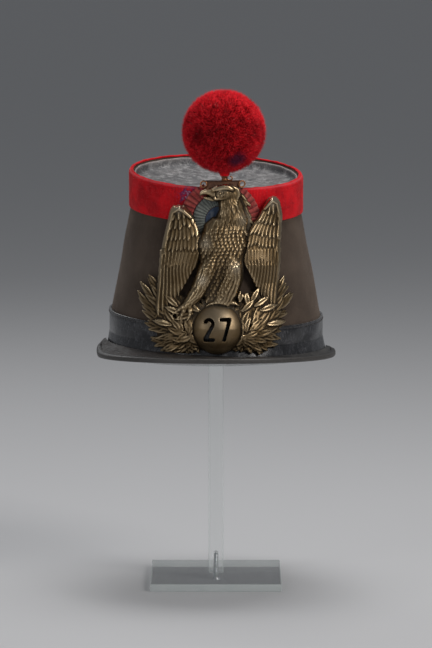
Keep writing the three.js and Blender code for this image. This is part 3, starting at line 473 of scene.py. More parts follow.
def felt_profile(angle):
    """The felt wall's section: out up the face, over the rim and down the inside."""
    face = np.linspace(FELT_EDGE, RIM_HEIGHT - FELT_EDGE, 90)
    inside = np.linspace(RIM_HEIGHT - FELT_EDGE, FELT_EDGE, 24)
    inner_edge = FELT_EDGE - FELT_THICKNESS
    level = np.concatenate([[0.0], face, [RIM_HEIGHT, RIM_HEIGHT], inside, [0.0]])[None, :]
    out = [[-FELT_EDGE], face * 0, [-FELT_EDGE, inner_edge], inside * 0 - FELT_THICKNESS, [inner_edge]]
    out = np.concatenate(out)[None, :]
    above_band = np.clip((level - DENTS_FOOT) / 20, 0, 1) * np.clip((DENTS_TOP - level) / 10, 0, 1)
    dents = 0.28 * np.sin(3 * angle + level * 0.05) + 0.2 * np.sin(7 * angle - level * 0.08 + 1)
    dents = dents + 0.12 * np.sin(13 * angle + level * 0.17)
    return level + 0 * angle, out + dents * above_band


felt_body = wall_piece("felt_body", felt_profile, 220)

felt, tree, shader = new_finish(
    "brown_felt", roughness=0.95, sheen_weight=0.25, sheen_roughness=0.6,
    specular_ior_level=0.15, sheen_tint=(0.55, 0.45, 0.38, 1),
)
place = place_in(tree)
worn = range_in(tree, noise_in(tree, place, 0.03, 4), 0.35, 0.68)
mottle = noise_in(tree, place, 0.45, 6, 0.7)
fibres = noise_in(tree, mapped_in(tree, place, (1, 1, 0.45)), 2.6, 4, 0.8)
ground = blend_in(tree, worn, FELT_DARK, FELT_LIGHT)
ground = blend_in(tree, range_in(tree, mottle, 0.3, 0.75, 0.0, 0.55), ground, FELT_LIGHT)
specks = range_in(tree, noise_in(tree, place, 1.7, 2, 0.4), 0.74, 0.8, 0, 0.55)
streaks = range_in(tree, fibres, 0.62, 0.8, 0, 0.25)
ground = blend_in(tree, maths_in(tree, "MAXIMUM", specks, streaks), ground, FELT_FIBRE)
feed(shader, "Base Color", ground)
rough = bump_in(tree, shader, mottle, 0.5, 0.5)
bump_in(tree, shader, fibres, 0.25, 0.6, rough)
place_piece(felt_body, felt, ["felt_shell"])


def shape_piece(name, points, faces):
    """A small shape in millimetres that is set out many times, such as a fibre or a stitch."""
    return link_mesh(name, np.array(points, float) * MM, faces)


def bent_fibre(name, thickness):
    """A tapered fibre along Z, one millimetre long: a closed three-sided spike."""
    ring = [(thickness * math.cos(a), thickness * math.sin(a), 0) for a in np.arange(3) * 2 * math.pi / 3]
    tip = (thickness * 0.8, 0, 1.0)
    fibre = shape_piece(name, ring + [tip], [(0, 1, 3), (1, 2, 3), (2, 0, 3), (2, 1, 0)])
    field = fibre.data.attributes.new("tip", "FLOAT", "POINT")
    field.data.foreach_set("value", [0.0, 0.0, 0.0, 1.0])
    return fibre


def open_tree(name, sockets):
    """A new geometry node tree with named inputs, what it is given, and its inputs' values by identifier."""
    group = bpy.data.node_groups.new(name, "GeometryNodeTree")
    values = {}
    for label, kind, value in sockets:
        identifier = group.interface.new_socket(label, in_out="INPUT", socket_type=kind).identifier
        if value is not None:
            values[identifier] = value
    group.interface.new_socket("Geometry", in_out="OUTPUT", socket_type="NodeSocketGeometry")
    return group, group.nodes.new("NodeGroupInput").outputs, values


def grow_tree(name, ground, group, copies, finish, values):
    """Ends a tree in real copies with their material, and makes a new piece of its outcome on a piece."""
    whole = node_in(group, "GeometryNodeRealizeInstances", {"Geometry": copies})
    dressed = {"Geometry": whole.outputs[0], "Material": finish}
    dressed = node_in(group, "GeometryNodeSetMaterial", dressed)
    group.links.new(dressed.outputs[0], group.nodes.new("NodeGroupOutput").inputs[0])
    modifier = ground.modifiers.new(name, "NODES")
    modifier.node_group = group
    for identifier, value in values.items():
        modifier[identifier] = value
    view = bpy.context.evaluated_depsgraph_get()
    mesh = bpy.data.meshes.new_from_object(ground.evaluated_get(view), depsgraph=view)
    ground.modifiers.clear()
    made = bpy.data.objects.new(name, mesh)
    scene.collection.objects.link(made)
    return made


def scatter(name, ground, shape, finish, per_square_mm, lengths, tilt, seed, cover=None, clump=None):
    """Sets a shape out over a piece's faces with random lean and length, and returns the new piece.

    A clump gathers it into locks, by how many to a millimetre and how far they lean."""
    sockets = (
        ("Ground", "NodeSocketGeometry", None),
        ("Amount", "NodeSocketFloat", per_square_mm / MM / MM),
        ("Shortest", "NodeSocketFloat", lengths[0]),
        ("Longest", "NodeSocketFloat", lengths[1]),
        ("Tilt", "NodeSocketFloat", tilt),
        ("Seed", "NodeSocketInt", seed),
        ("Shape", "NodeSocketObject", shape),
        ("Finish", "NodeSocketMaterial", finish),
    )
    group, given, values = open_tree(name, sockets)
    amount = given["Amount"]
    if cover is not None:
        field = node_in(group, "GeometryNodeInputNamedAttribute", {"Name": cover}, data_type="FLOAT")
        amount = maths_in(group, "MULTIPLY", amount, field.outputs["Attribute"])
    spread = {"Mesh": given["Ground"], "Density": amount, "Seed": given["Seed"]}
    spots = node_in(group, "GeometryNodeDistributePointsOnFaces", spread, distribute_method="RANDOM")
    back = maths_in(group, "MULTIPLY", given["Tilt"], -1.0)
    lean_least = node_in(group, "ShaderNodeCombineXYZ", {"X": back, "Y": back, "Z": -math.pi}).outputs[0]
    lean_most = {"X": given["Tilt"], "Y": given["Tilt"], "Z": math.pi}
    lean_most = node_in(group, "ShaderNodeCombineXYZ", lean_most).outputs[0]
    lean = node_in(group, "FunctionNodeRandomValue", data_type="FLOAT_VECTOR")
    group.links.new(lean_least, lean.inputs[0])
    group.links.new(lean_most, lean.inputs[1])
    group.links.new(given["Seed"], lean.inputs["Seed"])
    turn = node_in(group, "FunctionNodeRotateRotation", rotation_space="LOCAL")
    group.links.new(spots.outputs["Rotation"], turn.inputs[0])
    group.links.new(lean.outputs[0], turn.inputs[1])
    if clump is not None:
        whirl = {"Vector": node_in(group, "GeometryNodeInputPosition").outputs[0], "Scale": clump[0] / MM}
        whirl = node_in(group, "ShaderNodeTexNoise", {**whirl, "Detail": 1.0}).outputs["Color"]
        whirl = {0: whirl, 1: (clump[1],) * 3, 2: (-clump[1] / 2,) * 3}
        whirl = node_in(group, "ShaderNodeVectorMath", whirl, operation="MULTIPLY_ADD").outputs[0]
        clumped = node_in(group, "FunctionNodeRotateRotation", rotation_space="GLOBAL")
        group.links.new(turn.outputs[0], clumped.inputs[0])
        group.links.new(whirl, clumped.inputs[1])
        turn = clumped
    size = node_in(group, "FunctionNodeRandomValue", data_type="FLOAT")
    group.links.new(given["Shortest"], size.inputs[2])
    group.links.new(given["Longest"], size.inputs[3])
    size.inputs["Seed"].default_value = seed + 7
    scale = node_in(group, "ShaderNodeCombineXYZ", {"X": 1.0, "Y": 1.0, "Z": size.outputs[1]}).outputs[0]
    source = node_in(group, "GeometryNodeObjectInfo", {"Object": given["Shape"]})
    placed = node_in(group, "GeometryNodeInstanceOnPoints", {
        "Points": spots.outputs["Points"],
        "Instance": source.outputs["Geometry"],
        "Rotation": turn.outputs[0],
        "Scale": scale,
    })
    tint = node_in(group, "FunctionNodeRandomValue", data_type="FLOAT")
    tint.inputs["Seed"].default_value = seed + 13
    kept = node_in(group, "GeometryNodeStoreNamedAttribute", data_type="FLOAT", domain="INSTANCE")
    kept.inputs["Name"].default_value = "tint"
    group.links.new(placed.outputs[0], kept.inputs["Geometry"])
    group.links.new(tint.outputs[1], kept.inputs["Value"])
    made = grow_tree(name, ground, group, kept.outputs[0], given["Finish"], values)
    bpy.data.objects.remove(shape)
    return made


def field_in(tree, name):
    """A named field of the piece."""
    return node_in(tree, "ShaderNodeAttribute", attribute_name=name).outputs["Fac"]


felt_wool, tree, shader = new_finish("felt_wool", roughness=0.95, sheen_weight=0.3, specular_ior_level=0.1)
tint = field_in(tree, "tint")
feed(shader, "Base Color", blend_in(tree, tint, (0.045, 0.034, 0.027, 1), (0.2, 0.165, 0.13, 1)))
nap_cover = []
for vertex in felt_body.data.vertices:
    height = vertex.co.z / MM - HAT_FOOT
    outside = math.hypot(vertex.co.x, vertex.co.y) / MM > NAP_INNER_RADIUS
    nap_cover.append(float(NAP_FOOT < height < NAP_TOP and outside))
cover_field = felt_body.data.attributes.new("cover", "FLOAT", "POINT")
cover_field.data.foreach_set("value", nap_cover)
nap_shape = bent_fibre("nap_shape", 0.035)
nap = scatter(
    "felt_nap", felt_body, nap_shape, felt_wool, NAP_PER_SQUARE_MM, NAP_LENGTHS,
    tilt=1.35, seed=3, cover="cover",
)
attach(nap, "root")

# Crown top
# A shallow dish of black leather, drawn up at its edge and seated inside the felt's rim.
# Its grain has cracked and faded to a blotchy grey, darker toward the edges as painted shade, with a pale
# worn lip.
CROWN_LEATHER = 2
CROWN_WALL_HEIGHT = 6
CROWN_SUNK = 0.8
CROWN_DISH = 2.5
CROWN_AROUND = 300
FLOOR_ROWS = 44


def soft_outline(corners, step):
    """A closed outline from corners with a radius each, rounded and filled in at a step."""
    corners = [np.array(corner, float) for corner in corners]
    outline = []
    for i, corner in enumerate(corners):
        before = corners[i - 1][:2] - corner[:2]
        after = corners[(i + 1) % len(corners)][:2] - corner[:2]
        start = corner[:2] + before / np.linalg.norm(before) * min(corner[2], np.linalg.norm(before) / 2)
        end = corner[:2] + after / np.linalg.norm(after) * min(corner[2], np.linalg.norm(after) / 2)
        for t in np.linspace(0, 1, 6) if corner[2] > 0 else (0.5,):
            outline.append((1 - t) ** 2 * start + 2 * t * (1 - t) * corner[:2] + t ** 2 * end)
    filled = []
    for i, point in enumerate(outline):
        following = outline[(i + 1) % len(outline)]
        length = np.linalg.norm(following - point)
        if length < 1e-9:
            continue
        pieces = max(1, int(math.ceil(length / step)))
        filled += [point + (following - point) * k / pieces for k in range(pieces)]
    return np.array(filled)


crown_outer = -FELT_THICKNESS - GAP
crown_inner = crown_outer - CROWN_LEATHER
crown_lip = RIM_HEIGHT - CROWN_SUNK
crown_floor = crown_lip - CROWN_WALL_HEIGHT
crown_angle = full_turn(CROWN_AROUND)
floor_share = np.linspace(0.02, 0.97, FLOOR_ROWS)[None, :]
floor_level = crown_floor - CROWN_DISH * (1 - floor_share ** 2)
ripple = 0.5 * np.sin(2 * crown_angle + 5 * floor_share) + 0.3 * np.sin(5 * crown_angle - 7 * floor_share)
ripple = (ripple + 0.2 * np.sin(11 * crown_angle + 9 * floor_share)) * floor_share * (1 - floor_share) * 3
lip_rows = np.array([
    # share, out, level
    (1, crown_inner - 1.2, crown_floor + 0.4),
    (1, crown_inner - 0.4, crown_floor + 1.2),
    (1, crown_inner - 0.1, crown_floor + 2.6),
    (1, crown_inner, crown_lip - 1.6),
    (1, crown_inner + 0.15, crown_lip - 0.5),
    (1, crown_inner + 0.6, crown_lip),
    (1, crown_outer - 0.6, crown_lip),
    (1, crown_outer - 0.1, crown_lip - 0.5),
    (1, crown_outer, crown_lip - 1.2),
    (1, crown_outer, crown_floor - 0.5 * CROWN_LEATHER),
    (0.98, crown_outer, crown_floor - CROWN_LEATHER),
    (0.6, crown_outer, crown_floor - CROWN_LEATHER - 0.64 * CROWN_DISH),
    (0.02, crown_outer, crown_floor - CROWN_LEATHER - CROWN_DISH),
])
lip_share, lip_out, lip_level = (np.tile(lip_rows[:, k], (CROWN_AROUND, 1)) for k in range(3))
crown_level = np.concatenate([floor_level + ripple * 0.55, lip_level], 1)
wobble = 0.18 * np.sin(9 * crown_angle) + 0.12 * np.sin(23 * crown_angle + 1)
crown_level[:, FLOOR_ROWS + 3:FLOOR_ROWS + 7] += wobble
crown_out = np.concatenate([crown_inner + 0 * ripple, lip_out], 1)
crown_shares = np.concatenate([floor_share + 0 * crown_angle, lip_share], 1)
crown_points = wall_point(crown_angle, crown_level, crown_out, crown_shares)
crown_rows = crown_points.shape[1]
from_lip = np.abs(np.arange(crown_rows) - FLOOR_ROWS - 5)
lip_wear = np.clip(1 - from_lip / 2.5, 0, 1)[None, :] + 0 * crown_angle
# Painted shade: darker toward the dish's edge, most at the front where the front wall's shadow falls.
painted_edge_shade = np.clip((crown_shares - 0.74) / 0.26, 0, 1) ** 2 * (0.6 + 0.4 * np.cos(crown_angle))
crown_faces = closed_faces(CROWN_AROUND, crown_rows)
crown_fields = {"wear": lip_wear, "shade": painted_edge_shade}
leather_crown = hat_piece("leather_crown", crown_points, crown_faces, None, crown_fields)
turn_outwards(leather_crown)

worn_leather, tree, shader = new_finish("worn_leather", roughness=0.6)
place = place_in(tree)
blotches = noise_in(tree, place, 0.05, 5, 0.65, 0.6)
grain = noise_in(tree, place, 0.7, 6, 0.7)
cracks = node_in(tree, "ShaderNodeTexVoronoi", {"Vector": place, "Scale": 0.42}, feature="DISTANCE_TO_EDGE")
crack_line = range_in(tree, cracks.outputs["Distance"], 0, 0.09, 1, 0)
crack_line = maths_in(tree, "MULTIPLY", crack_line, range_in(tree, grain, 0.42, 0.6))
ground = blend_in(tree, range_in(tree, blotches, 0.4, 0.6), (0.06, 0.06, 0.064, 1), (0.17, 0.165, 0.165, 1))
ground = blend_in(tree, range_in(tree, grain, 0.5, 0.62, 0, 0.8), ground, (0.3, 0.29, 0.285, 1))
flakes = noise_in(tree, place, 0.14, 7, 0.78, 0.4)
ground = blend_in(tree, range_in(tree, flakes, 0.5, 0.57, 0, 0.85), ground, (0.36, 0.35, 0.345, 1))
pits = noise_in(tree, place, 0.22, 6, 0.78)
ground = blend_in(tree, range_in(tree, pits, 0.52, 0.66, 0, 0.75), ground, (0.035, 0.035, 0.04, 1))
# Painted shade: a dark blue-grey toward the edge, strongest at the front.
shade = field_in(tree, "shade")
shade = maths_in(tree, "MULTIPLY", shade, range_in(tree, noise_in(tree, place, 0.09, 3), 0.42, 0.58))
ground = blend_in(tree, maths_in(tree, "MULTIPLY", shade, 0.85), ground, (0.02, 0.022, 0.032, 1))
ground = blend_in(tree, maths_in(tree, "MULTIPLY", crack_line, 0.55), ground, (0.04, 0.038, 0.04, 1))
wear = field_in(tree, "wear")
wear = maths_in(tree, "MULTIPLY", wear, range_in(tree, grain, 0.35, 0.6, 0.4, 1))
ground = blend_in(tree, wear, ground, (0.36, 0.32, 0.3, 1))
feed(shader, "Base Color", ground)
feed(shader, "Roughness", range_in(tree, grain, 0.3, 0.7, 0.42, 0.75))
first = bump_in(tree, shader, crack_line, -0.3, 0.7)
bump_in(tree, shader, grain, 0.22, 0.6, first)
place_piece(leather_crown, worn_leather, ["crown_top"])

# Red braid
# A wide woollen braid sewn round the top of the felt, its upper edge rolled over the rim.
# Its fine upright ribs have matted. Beside the cockade a patch has frayed and faded to purple.
BRAID_HEIGHT = 30
BRAID_THICKNESS = 1.3
BRAID_ROLL = 1.1
BRAID_RIBS = 340
FADED_ANGLE = -0.3
FADED_LEVEL = 143
FUZZ_PER_SQUARE_MM = 1.1
FUZZ_LENGTHS = (0.5, 1.5)


def ribs_at(angle, level):
    """The braid's upright ribs, from -1 between two to 1 on top of one."""
    return np.sin(BRAID_RIBS * angle + 0.9 * np.sin(level * 0.35) + 1.5 * np.sin(9 * angle))


def braid_profile(angle):
    """The braid's section: up its face, over the rim and down inside."""
    foot = RIM_HEIGHT - BRAID_HEIGHT
    face = GAP + BRAID_THICKNESS
    inside = -FELT_THICKNESS + GAP
    top = RIM_HEIGHT + GAP + BRAID_ROLL
    outline = soft_outline([
        (foot, GAP, 0.1),
        (foot, face, 0.5),
        (RIM_HEIGHT - BRAID_ROLL, face, 0.6),
        (top, face - BRAID_ROLL, 0.8),
        (top, inside, 0.5),
        (RIM_HEIGHT + GAP, inside, 0.1),
        (RIM_HEIGHT + GAP, GAP, 0),
    ], 1.9)
    level = outline[None, :, 0] + 0 * angle
    out = outline[None, :, 1] + 0 * angle
    front = np.clip((out - 0.9) / 0.5, 0, 1) + np.clip((level - RIM_HEIGHT - 0.9) / 0.4, 0, 1)
    front = np.clip(front, 0, 1)
    ribs = ribs_at(angle, level)
    rows = 0.05 * np.sin(level * 3.4 + 2 * np.sin(7 * angle))
    matted = 0.6 + 0.4 * np.sin(5 * angle + level * 0.11) * np.sin(13 * angle - level * 0.2 + 1)
    out = out + front * (0.16 * ribs * matted + rows - 0.05)
    roll = np.clip((level - RIM_HEIGHT + 4) / 4, 0, 1) * front
    out = out + roll * 0.12 * np.sin(38 * angle + 2 * np.sin(11 * angle))
    level = level + 0.14 * np.sin(17 * angle) * roll + 0.1 * np.sin(41 * angle) * roll
    return level, out


def braid_fields(angle, level, out):
    """How far the braid has faded, how much its surface has frayed, and where painted shade darkens the
    grooves between its ribs.
    """
    turn = (angle - FADED_ANGLE + math.pi) % (2 * math.pi) - math.pi
    patch = np.exp(-((turn / 0.13) ** 2) - ((level - FADED_LEVEL) / 10) ** 2)
    roll = np.clip(1 - np.abs(level - (RIM_HEIGHT + 0.7)) / 1.1, 0, 1) * np.clip(out / 0.4, 0, 1)
    cover = np.clip((out - 0.8) / 0.3, 0, 1) * (0.5 + 2.2 * patch) + 0.5 * roll
    painted_groove_shade = 0.5 - 0.5 * ribs_at(angle, level)
    return {"faded": patch, "edge": roll, "cover": cover, "painted_groove_shade": painted_groove_shade}


wool_braid = wall_piece("wool_braid", braid_profile, 3 * BRAID_RIBS, fields=braid_fields)
braid_wool, tree, shader = new_finish(
    "braid_wool", roughness=0.92, sheen_weight=0.18, sheen_roughness=0.4,
    sheen_tint=(1, 0.25, 0.25, 1), specular_ior_level=0.15,
)
place = place_in(tree)
patches = noise_in(tree, place, 0.06, 4, 0.6)
fine = noise_in(tree, place, 1.1, 5, 0.75)
painted_groove_shade = field_in(tree, "painted_groove_shade")
ground = blend_in(tree, range_in(tree, patches, 0.38, 0.62), (0.5, 0.002, 0.006, 1), (0.95, 0.008, 0.016, 1))
ground = blend_in(tree, range_in(tree, fine, 0.5, 0.62, 0, 0.8), ground, (1, 0.05, 0.06, 1))
# Painted shade: the grooves between the ribs are darkened.
ground = blend_in(tree, maths_in(tree, "MULTIPLY", painted_groove_shade, 0.7), ground, (0.15, 0.002, 0.006, 1))
dirt = noise_in(tree, mapped_in(tree, place, moved=(40, 7, 3)), 0.12, 5, 0.7)
ground = blend_in(tree, range_in(tree, dirt, 0.56, 0.74, 0, 0.6), ground, (0.12, 0.004, 0.012, 1))
faded = field_in(tree, "faded")
torn = noise_in(tree, place, 0.28, 4, 0.7)
faded = maths_in(tree, "MULTIPLY", faded, range_in(tree, torn, 0.4, 0.58, 0.1, 1.2))
ground = blend_in(tree, range_in(tree, faded, 0.15, 0.55), ground, (0.14, 0.02, 0.09, 1))
lint = range_in(tree, maths_in(tree, "MULTIPLY", faded, fine), 0.34, 0.5)
ground = blend_in(tree, lint, ground, (0.5, 0.24, 0.34, 1))
edge = field_in(tree, "edge")
ground = blend_in(tree, maths_in(tree, "MULTIPLY", edge, 0.45), ground, (0.75, 0.13, 0.15, 1))
feed(shader, "Base Color", ground)
bump_in(tree, shader, fine, 0.25, 0.5)
fray_wool, tree, shader = new_finish("fray_wool", roughness=0.9, sheen_weight=0.3, specular_ior_level=0.15)
tint = field_in(tree, "tint")
feed(shader, "Base Color", blend_in(tree, tint, (0.2, 0.004, 0.012, 1), (0.62, 0.04, 0.06, 1)))
fuzz_shape = bent_fibre("fuzz_shape", 0.045)
fuzz = scatter(
    "braid_fuzz", wool_braid, fuzz_shape, fray_wool, FUZZ_PER_SQUARE_MM, FUZZ_LENGTHS,
    tilt=1.2, seed=5, cover="cover",
)
place_piece(wool_braid, braid_wool, ["red_braid"])
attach(fuzz, "root")

# Leather band
# Black waxed leather round the foot of the felt, sprung outwards at the front where the peak is sewn on.
# Its finish has scuffed to grey, with fine upright scratches, and it is stitched along its top edge.
BAND_HEIGHT = 31
BAND_THICKNESS = 1.8
BAND_FLARE = 2.4
BAND_FLARE_HEIGHT = 13
BAND_FOOT = 0.3
BAND_FACE = GAP + BAND_THICKNESS
STITCH_LENGTH = 2.2
STITCH_PITCH = 3.2
SEAM_DROP = 2.6


def flare_at(level):
    """How far the band springs out at a level."""
    return BAND_FLARE * np.clip(1 - level / BAND_FLARE_HEIGHT, 0, 1)


def flare_share(angle):
    """How much of the band's spring each side of the hat has."""
    return np.clip((np.cos(angle) + 0.5) / 0.5, 0, 1)


def band_profile(angle):
    """The band's section: down its face and up against the felt."""
    outline = soft_outline([
        (BAND_FOOT, BAND_FACE, 0.35),
        (BAND_FLARE_HEIGHT, BAND_FACE, 3),
        (BAND_HEIGHT, BAND_FACE, 0.6),
        (BAND_HEIGHT, GAP, 0.2),
        (BAND_FLARE_HEIGHT, GAP, 0),
        (BAND_FOOT, GAP, 0.2),
    ], 0.8)
    level = outline[None, :, 0] + 0 * angle
    out = outline[None, :, 1] + 0 * angle
    face = np.clip((out - 1.2) / 0.6, 0, 1)
    out = out + flare_at(level) * flare_share(angle)
    waves = 0.2 * np.sin(6 * angle + 0.12 * level) + 0.16 * np.sin(15 * angle - 0.2 * level + 1)
    waves = waves + 0.1 * np.sin(37 * angle + 0.1 * level) * np.clip(1 - level / 20, 0, 1)
    seam_groove = np.exp(-((level - BAND_HEIGHT + SEAM_DROP) / 0.5) ** 2) * 0.14
    out = out + face * (waves - 0.08 - seam_groove)
    level = level + 0.22 * np.sin(4 * angle + 1) * np.clip((level - 24) / 6, 0, 1)
    return level, out


def band_fields(angle, level, out):
    """Where the band's edges have worn."""
    top = np.clip(1 - np.abs(level - BAND_HEIGHT) / 0.9, 0, 1)
    foot = np.clip(1 - np.abs(level - BAND_FOOT) / 1.2, 0, 1)
    return {"wear": np.maximum(top, foot)}


wax_band = wall_piece("wax_band", band_profile, 400, fields=band_fields)
wax_leather, tree, shader = new_finish(
    "wax_leather", roughness=0.4, coat_weight=0.5, coat_roughness=0.22, specular_ior_level=0.5
)
place = place_in(tree)
surface = node_in(tree, "ShaderNodeTexCoord").outputs["UV"]
scratches = noise_in(tree, mapped_in(tree, surface, (100, 16, 1)), 1.6, 5, 0.75, 0.5)
scuffs = noise_in(tree, place, 0.09, 5, 0.7, 0.8)
grain = noise_in(tree, place, 1.6, 4, 0.6)
ground = blend_in(tree, range_in(tree, scuffs, 0.38, 0.7), (0.006, 0.006, 0.0075, 1), (0.02, 0.02, 0.024, 1))
marks = range_in(tree, scuffs, 0.4, 0.6, 0.12, 1)
marks = maths_in(tree, "MULTIPLY", range_in(tree, scratches, 0.52, 0.7), marks)
ground = blend_in(tree, marks, ground, (0.2, 0.2, 0.215, 1))
wear = field_in(tree, "wear")
wear = maths_in(tree, "MULTIPLY", wear, range_in(tree, noise_in(tree, place, 0.5, 4), 0.4, 0.62))
ground = blend_in(tree, maths_in(tree, "MULTIPLY", wear, 0.8), ground, (0.12, 0.1, 0.085, 1))
feed(shader, "Base Color", ground)
rough = range_in(tree, scuffs, 0.35, 0.7, 0.16, 0.36)
rough = maths_in(tree, "MULTIPLY_ADD", marks, 0.2, rough)
feed(shader, "Roughness", rough)
first = bump_in(tree, shader, grain, 0.08, 0.5)
bump_in(tree, shader, scratches, -0.06, 0.6, first)
place_piece(wax_band, wax_leather, ["leather_band"])


def sew(name, path, shape, finish, pitch, seed, facing=((1, 1, 0), (0, 0, 0))):
    """Sets a shape out at an even pitch along a path of points, turned along it and outwards."""
    path = np.array(path, float)
    path[:, 2] += HAT_FOOT
    trace = bpy.data.meshes.new(name + "_path")
    links = [(i, i + 1) for i in range(len(path) - 1)]
    trace.from_pydata((path * MM).tolist(), links, [])
    carrier = bpy.data.objects.new(name + "_path", trace)
    scene.collection.objects.link(carrier)
    sockets = (
        ("Path", "NodeSocketGeometry", None),
        ("Pitch", "NodeSocketFloat", pitch * MM),
        ("Seed", "NodeSocketInt", seed),
        ("Shape", "NodeSocketObject", shape),
        ("Finish", "NodeSocketMaterial", finish),
    )
    group, given, values = open_tree(name, sockets)
    line = node_in(group, "GeometryNodeMeshToCurve", {"Mesh": given["Path"]})
    evened = node_in(group, "GeometryNodeResampleCurve", {"Curve": line.outputs[0]}, mode="LENGTH")
    group.links.new(given["Pitch"], evened.inputs["Length"])
    along = node_in(group, "GeometryNodeInputTangent").outputs[0]
    spot = node_in(group, "GeometryNodeInputPosition").outputs[0]
    outward = {0: spot, 1: facing[0], 2: facing[1]}
    outward = node_in(group, "ShaderNodeVectorMath", outward, operation="MULTIPLY_ADD").outputs[0]
    first_turn = node_in(group, "FunctionNodeAlignRotationToVector", {"Vector": along}, axis="X")
    turned = {"Rotation": first_turn.outputs[0], "Vector": outward}
    second_turn = node_in(group, "FunctionNodeAlignRotationToVector", turned, axis="Z", pivot_axis="X")
    jitter = node_in(group, "FunctionNodeRandomValue", data_type="FLOAT_VECTOR")
    jitter.inputs[0].default_value = (-0.04, -0.05, -0.1)
    jitter.inputs[1].default_value = (0.04, 0.05, 0.1)
    group.links.new(given["Seed"], jitter.inputs["Seed"])
    last_turn = node_in(group, "FunctionNodeRotateRotation", rotation_space="LOCAL")
    group.links.new(second_turn.outputs[0], last_turn.inputs[0])
    group.links.new(jitter.outputs[0], last_turn.inputs[1])
    source = node_in(group, "GeometryNodeObjectInfo", {"Object": given["Shape"]})
    placed = node_in(group, "GeometryNodeInstanceOnPoints", {
        "Points": evened.outputs[0],
        "Instance": source.outputs["Geometry"],
        "Rotation": last_turn.outputs[0],
    })
    made = grow_tree(name, carrier, group, placed.outputs[0], given["Finish"], values)
    bpy.data.objects.remove(carrier)
    bpy.data.objects.remove(shape)
    return made


def stitch_shape(name, length, thickness):
    """One stitch: a short round thread, sunk at both ends."""
    places = np.linspace(-1, 1, 7)
    sides = 6
    points = []
    for share in places:
        rise = thickness * (0.7 - 1.6 * share ** 4)
        radius = thickness * (1 - 0.35 * share ** 2)
        for a in np.arange(sides) * 2 * math.pi / sides:
            points.append((share * length / 2, radius * math.cos(a), rise + radius * math.sin(a)))
    faces = grid_faces(len(places), sides, False, True).tolist()
    faces.append(list(range(sides)))
    faces.append([len(points) - 1 - i for i in range(sides)])
    shape = shape_piece(name, points, faces)
    turn_outwards(shape)
    return shape


thread, tree, shader = new_finish("waxed_thread", roughness=0.7)
strands = noise_in(tree, place_in(tree), 2.5, 3)
feed(shader, "Base Color", blend_in(tree, strands, (0.02, 0.018, 0.018, 1), (0.09, 0.08, 0.072, 1)))
sew_angle = np.linspace(0, 2 * math.pi, 721)
seam_level = BAND_HEIGHT - SEAM_DROP + 0.22 * np.sin(4 * sew_angle + 1) * 0.8
seam_path = wall_point(sew_angle, seam_level, BAND_FACE - 0.02)
band_stitch = stitch_shape("band_stitch", STITCH_LENGTH, 0.26)
band_stitches = sew("band_stitches", seam_path, band_stitch, thread, STITCH_PITCH, seed=11)
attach(band_stitches, "root")

# Peak
# A narrow crescent of thick black leather, sewn to the band's foot and drooping at the sides.
# Its varnish has crazed and worn brown at the left, and it is painted paler toward the right as painted light
# from the key side.
PEAK_DEPTH = 27.7
PEAK_THICKNESS = 2.2
PEAK_END_ANGLE = 95
PEAK_CUT_ANGLE = 90
PEAK_ROOT_HEIGHT = 4.4
PEAK_FRONT_HEIGHT = 4.2
PEAK_SIDE_HEIGHT = -1.5
PEAK_ROOT = BAND_FACE + BAND_FLARE + GAP


def peak_point(angle, share, down):
    """Points of the peak by angle, share of the way from root to edge, and place down through the leather."""
    width = PEAK_DEPTH * np.cos(np.abs(np.degrees(angle)) / PEAK_END_ANGLE * math.pi / 2) ** 0.9
    out = PEAK_ROOT + width * share
    x = (FOOT_HALF_WIDTH + out) * np.sin(angle)
    y = -(FOOT_HALF_DEPTH + out) * np.cos(angle)
    root = PEAK_ROOT_HEIGHT - SIDE_SLOPE * x
    edge = PEAK_FRONT_HEIGHT + (PEAK_SIDE_HEIGHT - PEAK_FRONT_HEIGHT) * np.sin(angle) ** 2
    reach = np.minimum(1, 2 * width / PEAK_DEPTH)
    z = root + (edge - root) * share * reach - down * PEAK_THICKNESS
    return np.stack(np.broadcast_arrays(x, y, z), -1)


def capped_piece(name, sections, fields=()):
    """A closed piece from a row of closed sections, capped at both ends."""
    sections = np.asarray(sections)
    count, size = sections.shape[:2]
    faces = grid_faces(count, size, False, True).tolist()
    faces.append(list(range(size)))
    faces.append([count * size - 1 - i for i in range(size)])
    piece = hat_piece(name, sections, faces, None, fields)
    turn_outwards(piece)
    return piece


peak_angle = np.radians(np.linspace(-PEAK_CUT_ANGLE, PEAK_CUT_ANGLE, 421))[:, None]
top_share = np.linspace(0, 1, 26)
peak_shares = np.concatenate([top_share, [1.0], top_share[::-2]])[None, :]
peak_downs = np.concatenate([top_share * 0, [0.5], top_share[::-2] * 0 + 1])[None, :]
peak_sections = peak_point(peak_angle, peak_shares, peak_downs)
buckle = 0.22 * np.sin(9 * peak_angle + 4 * peak_shares) + 0.14 * np.sin(21 * peak_angle - 6 * peak_shares)
peak_sections[..., 2] += buckle * np.sin(math.pi * peak_shares) * (peak_downs < 0.4)
peak_wear = np.clip((peak_shares - 0.6) / 0.4, 0, 1) + 0 * peak_angle
leather_peak = capped_piece("leather_peak", peak_sections, {"wear": peak_wear})
crazed_leather, tree, shader = new_finish(
    "crazed_leather", roughness=0.45, coat_weight=0.15, coat_roughness=0.35, specular_ior_level=0.3
)
place = place_in(tree)
side = node_in(tree, "ShaderNodeSeparateXYZ", {0: place}).outputs[0]
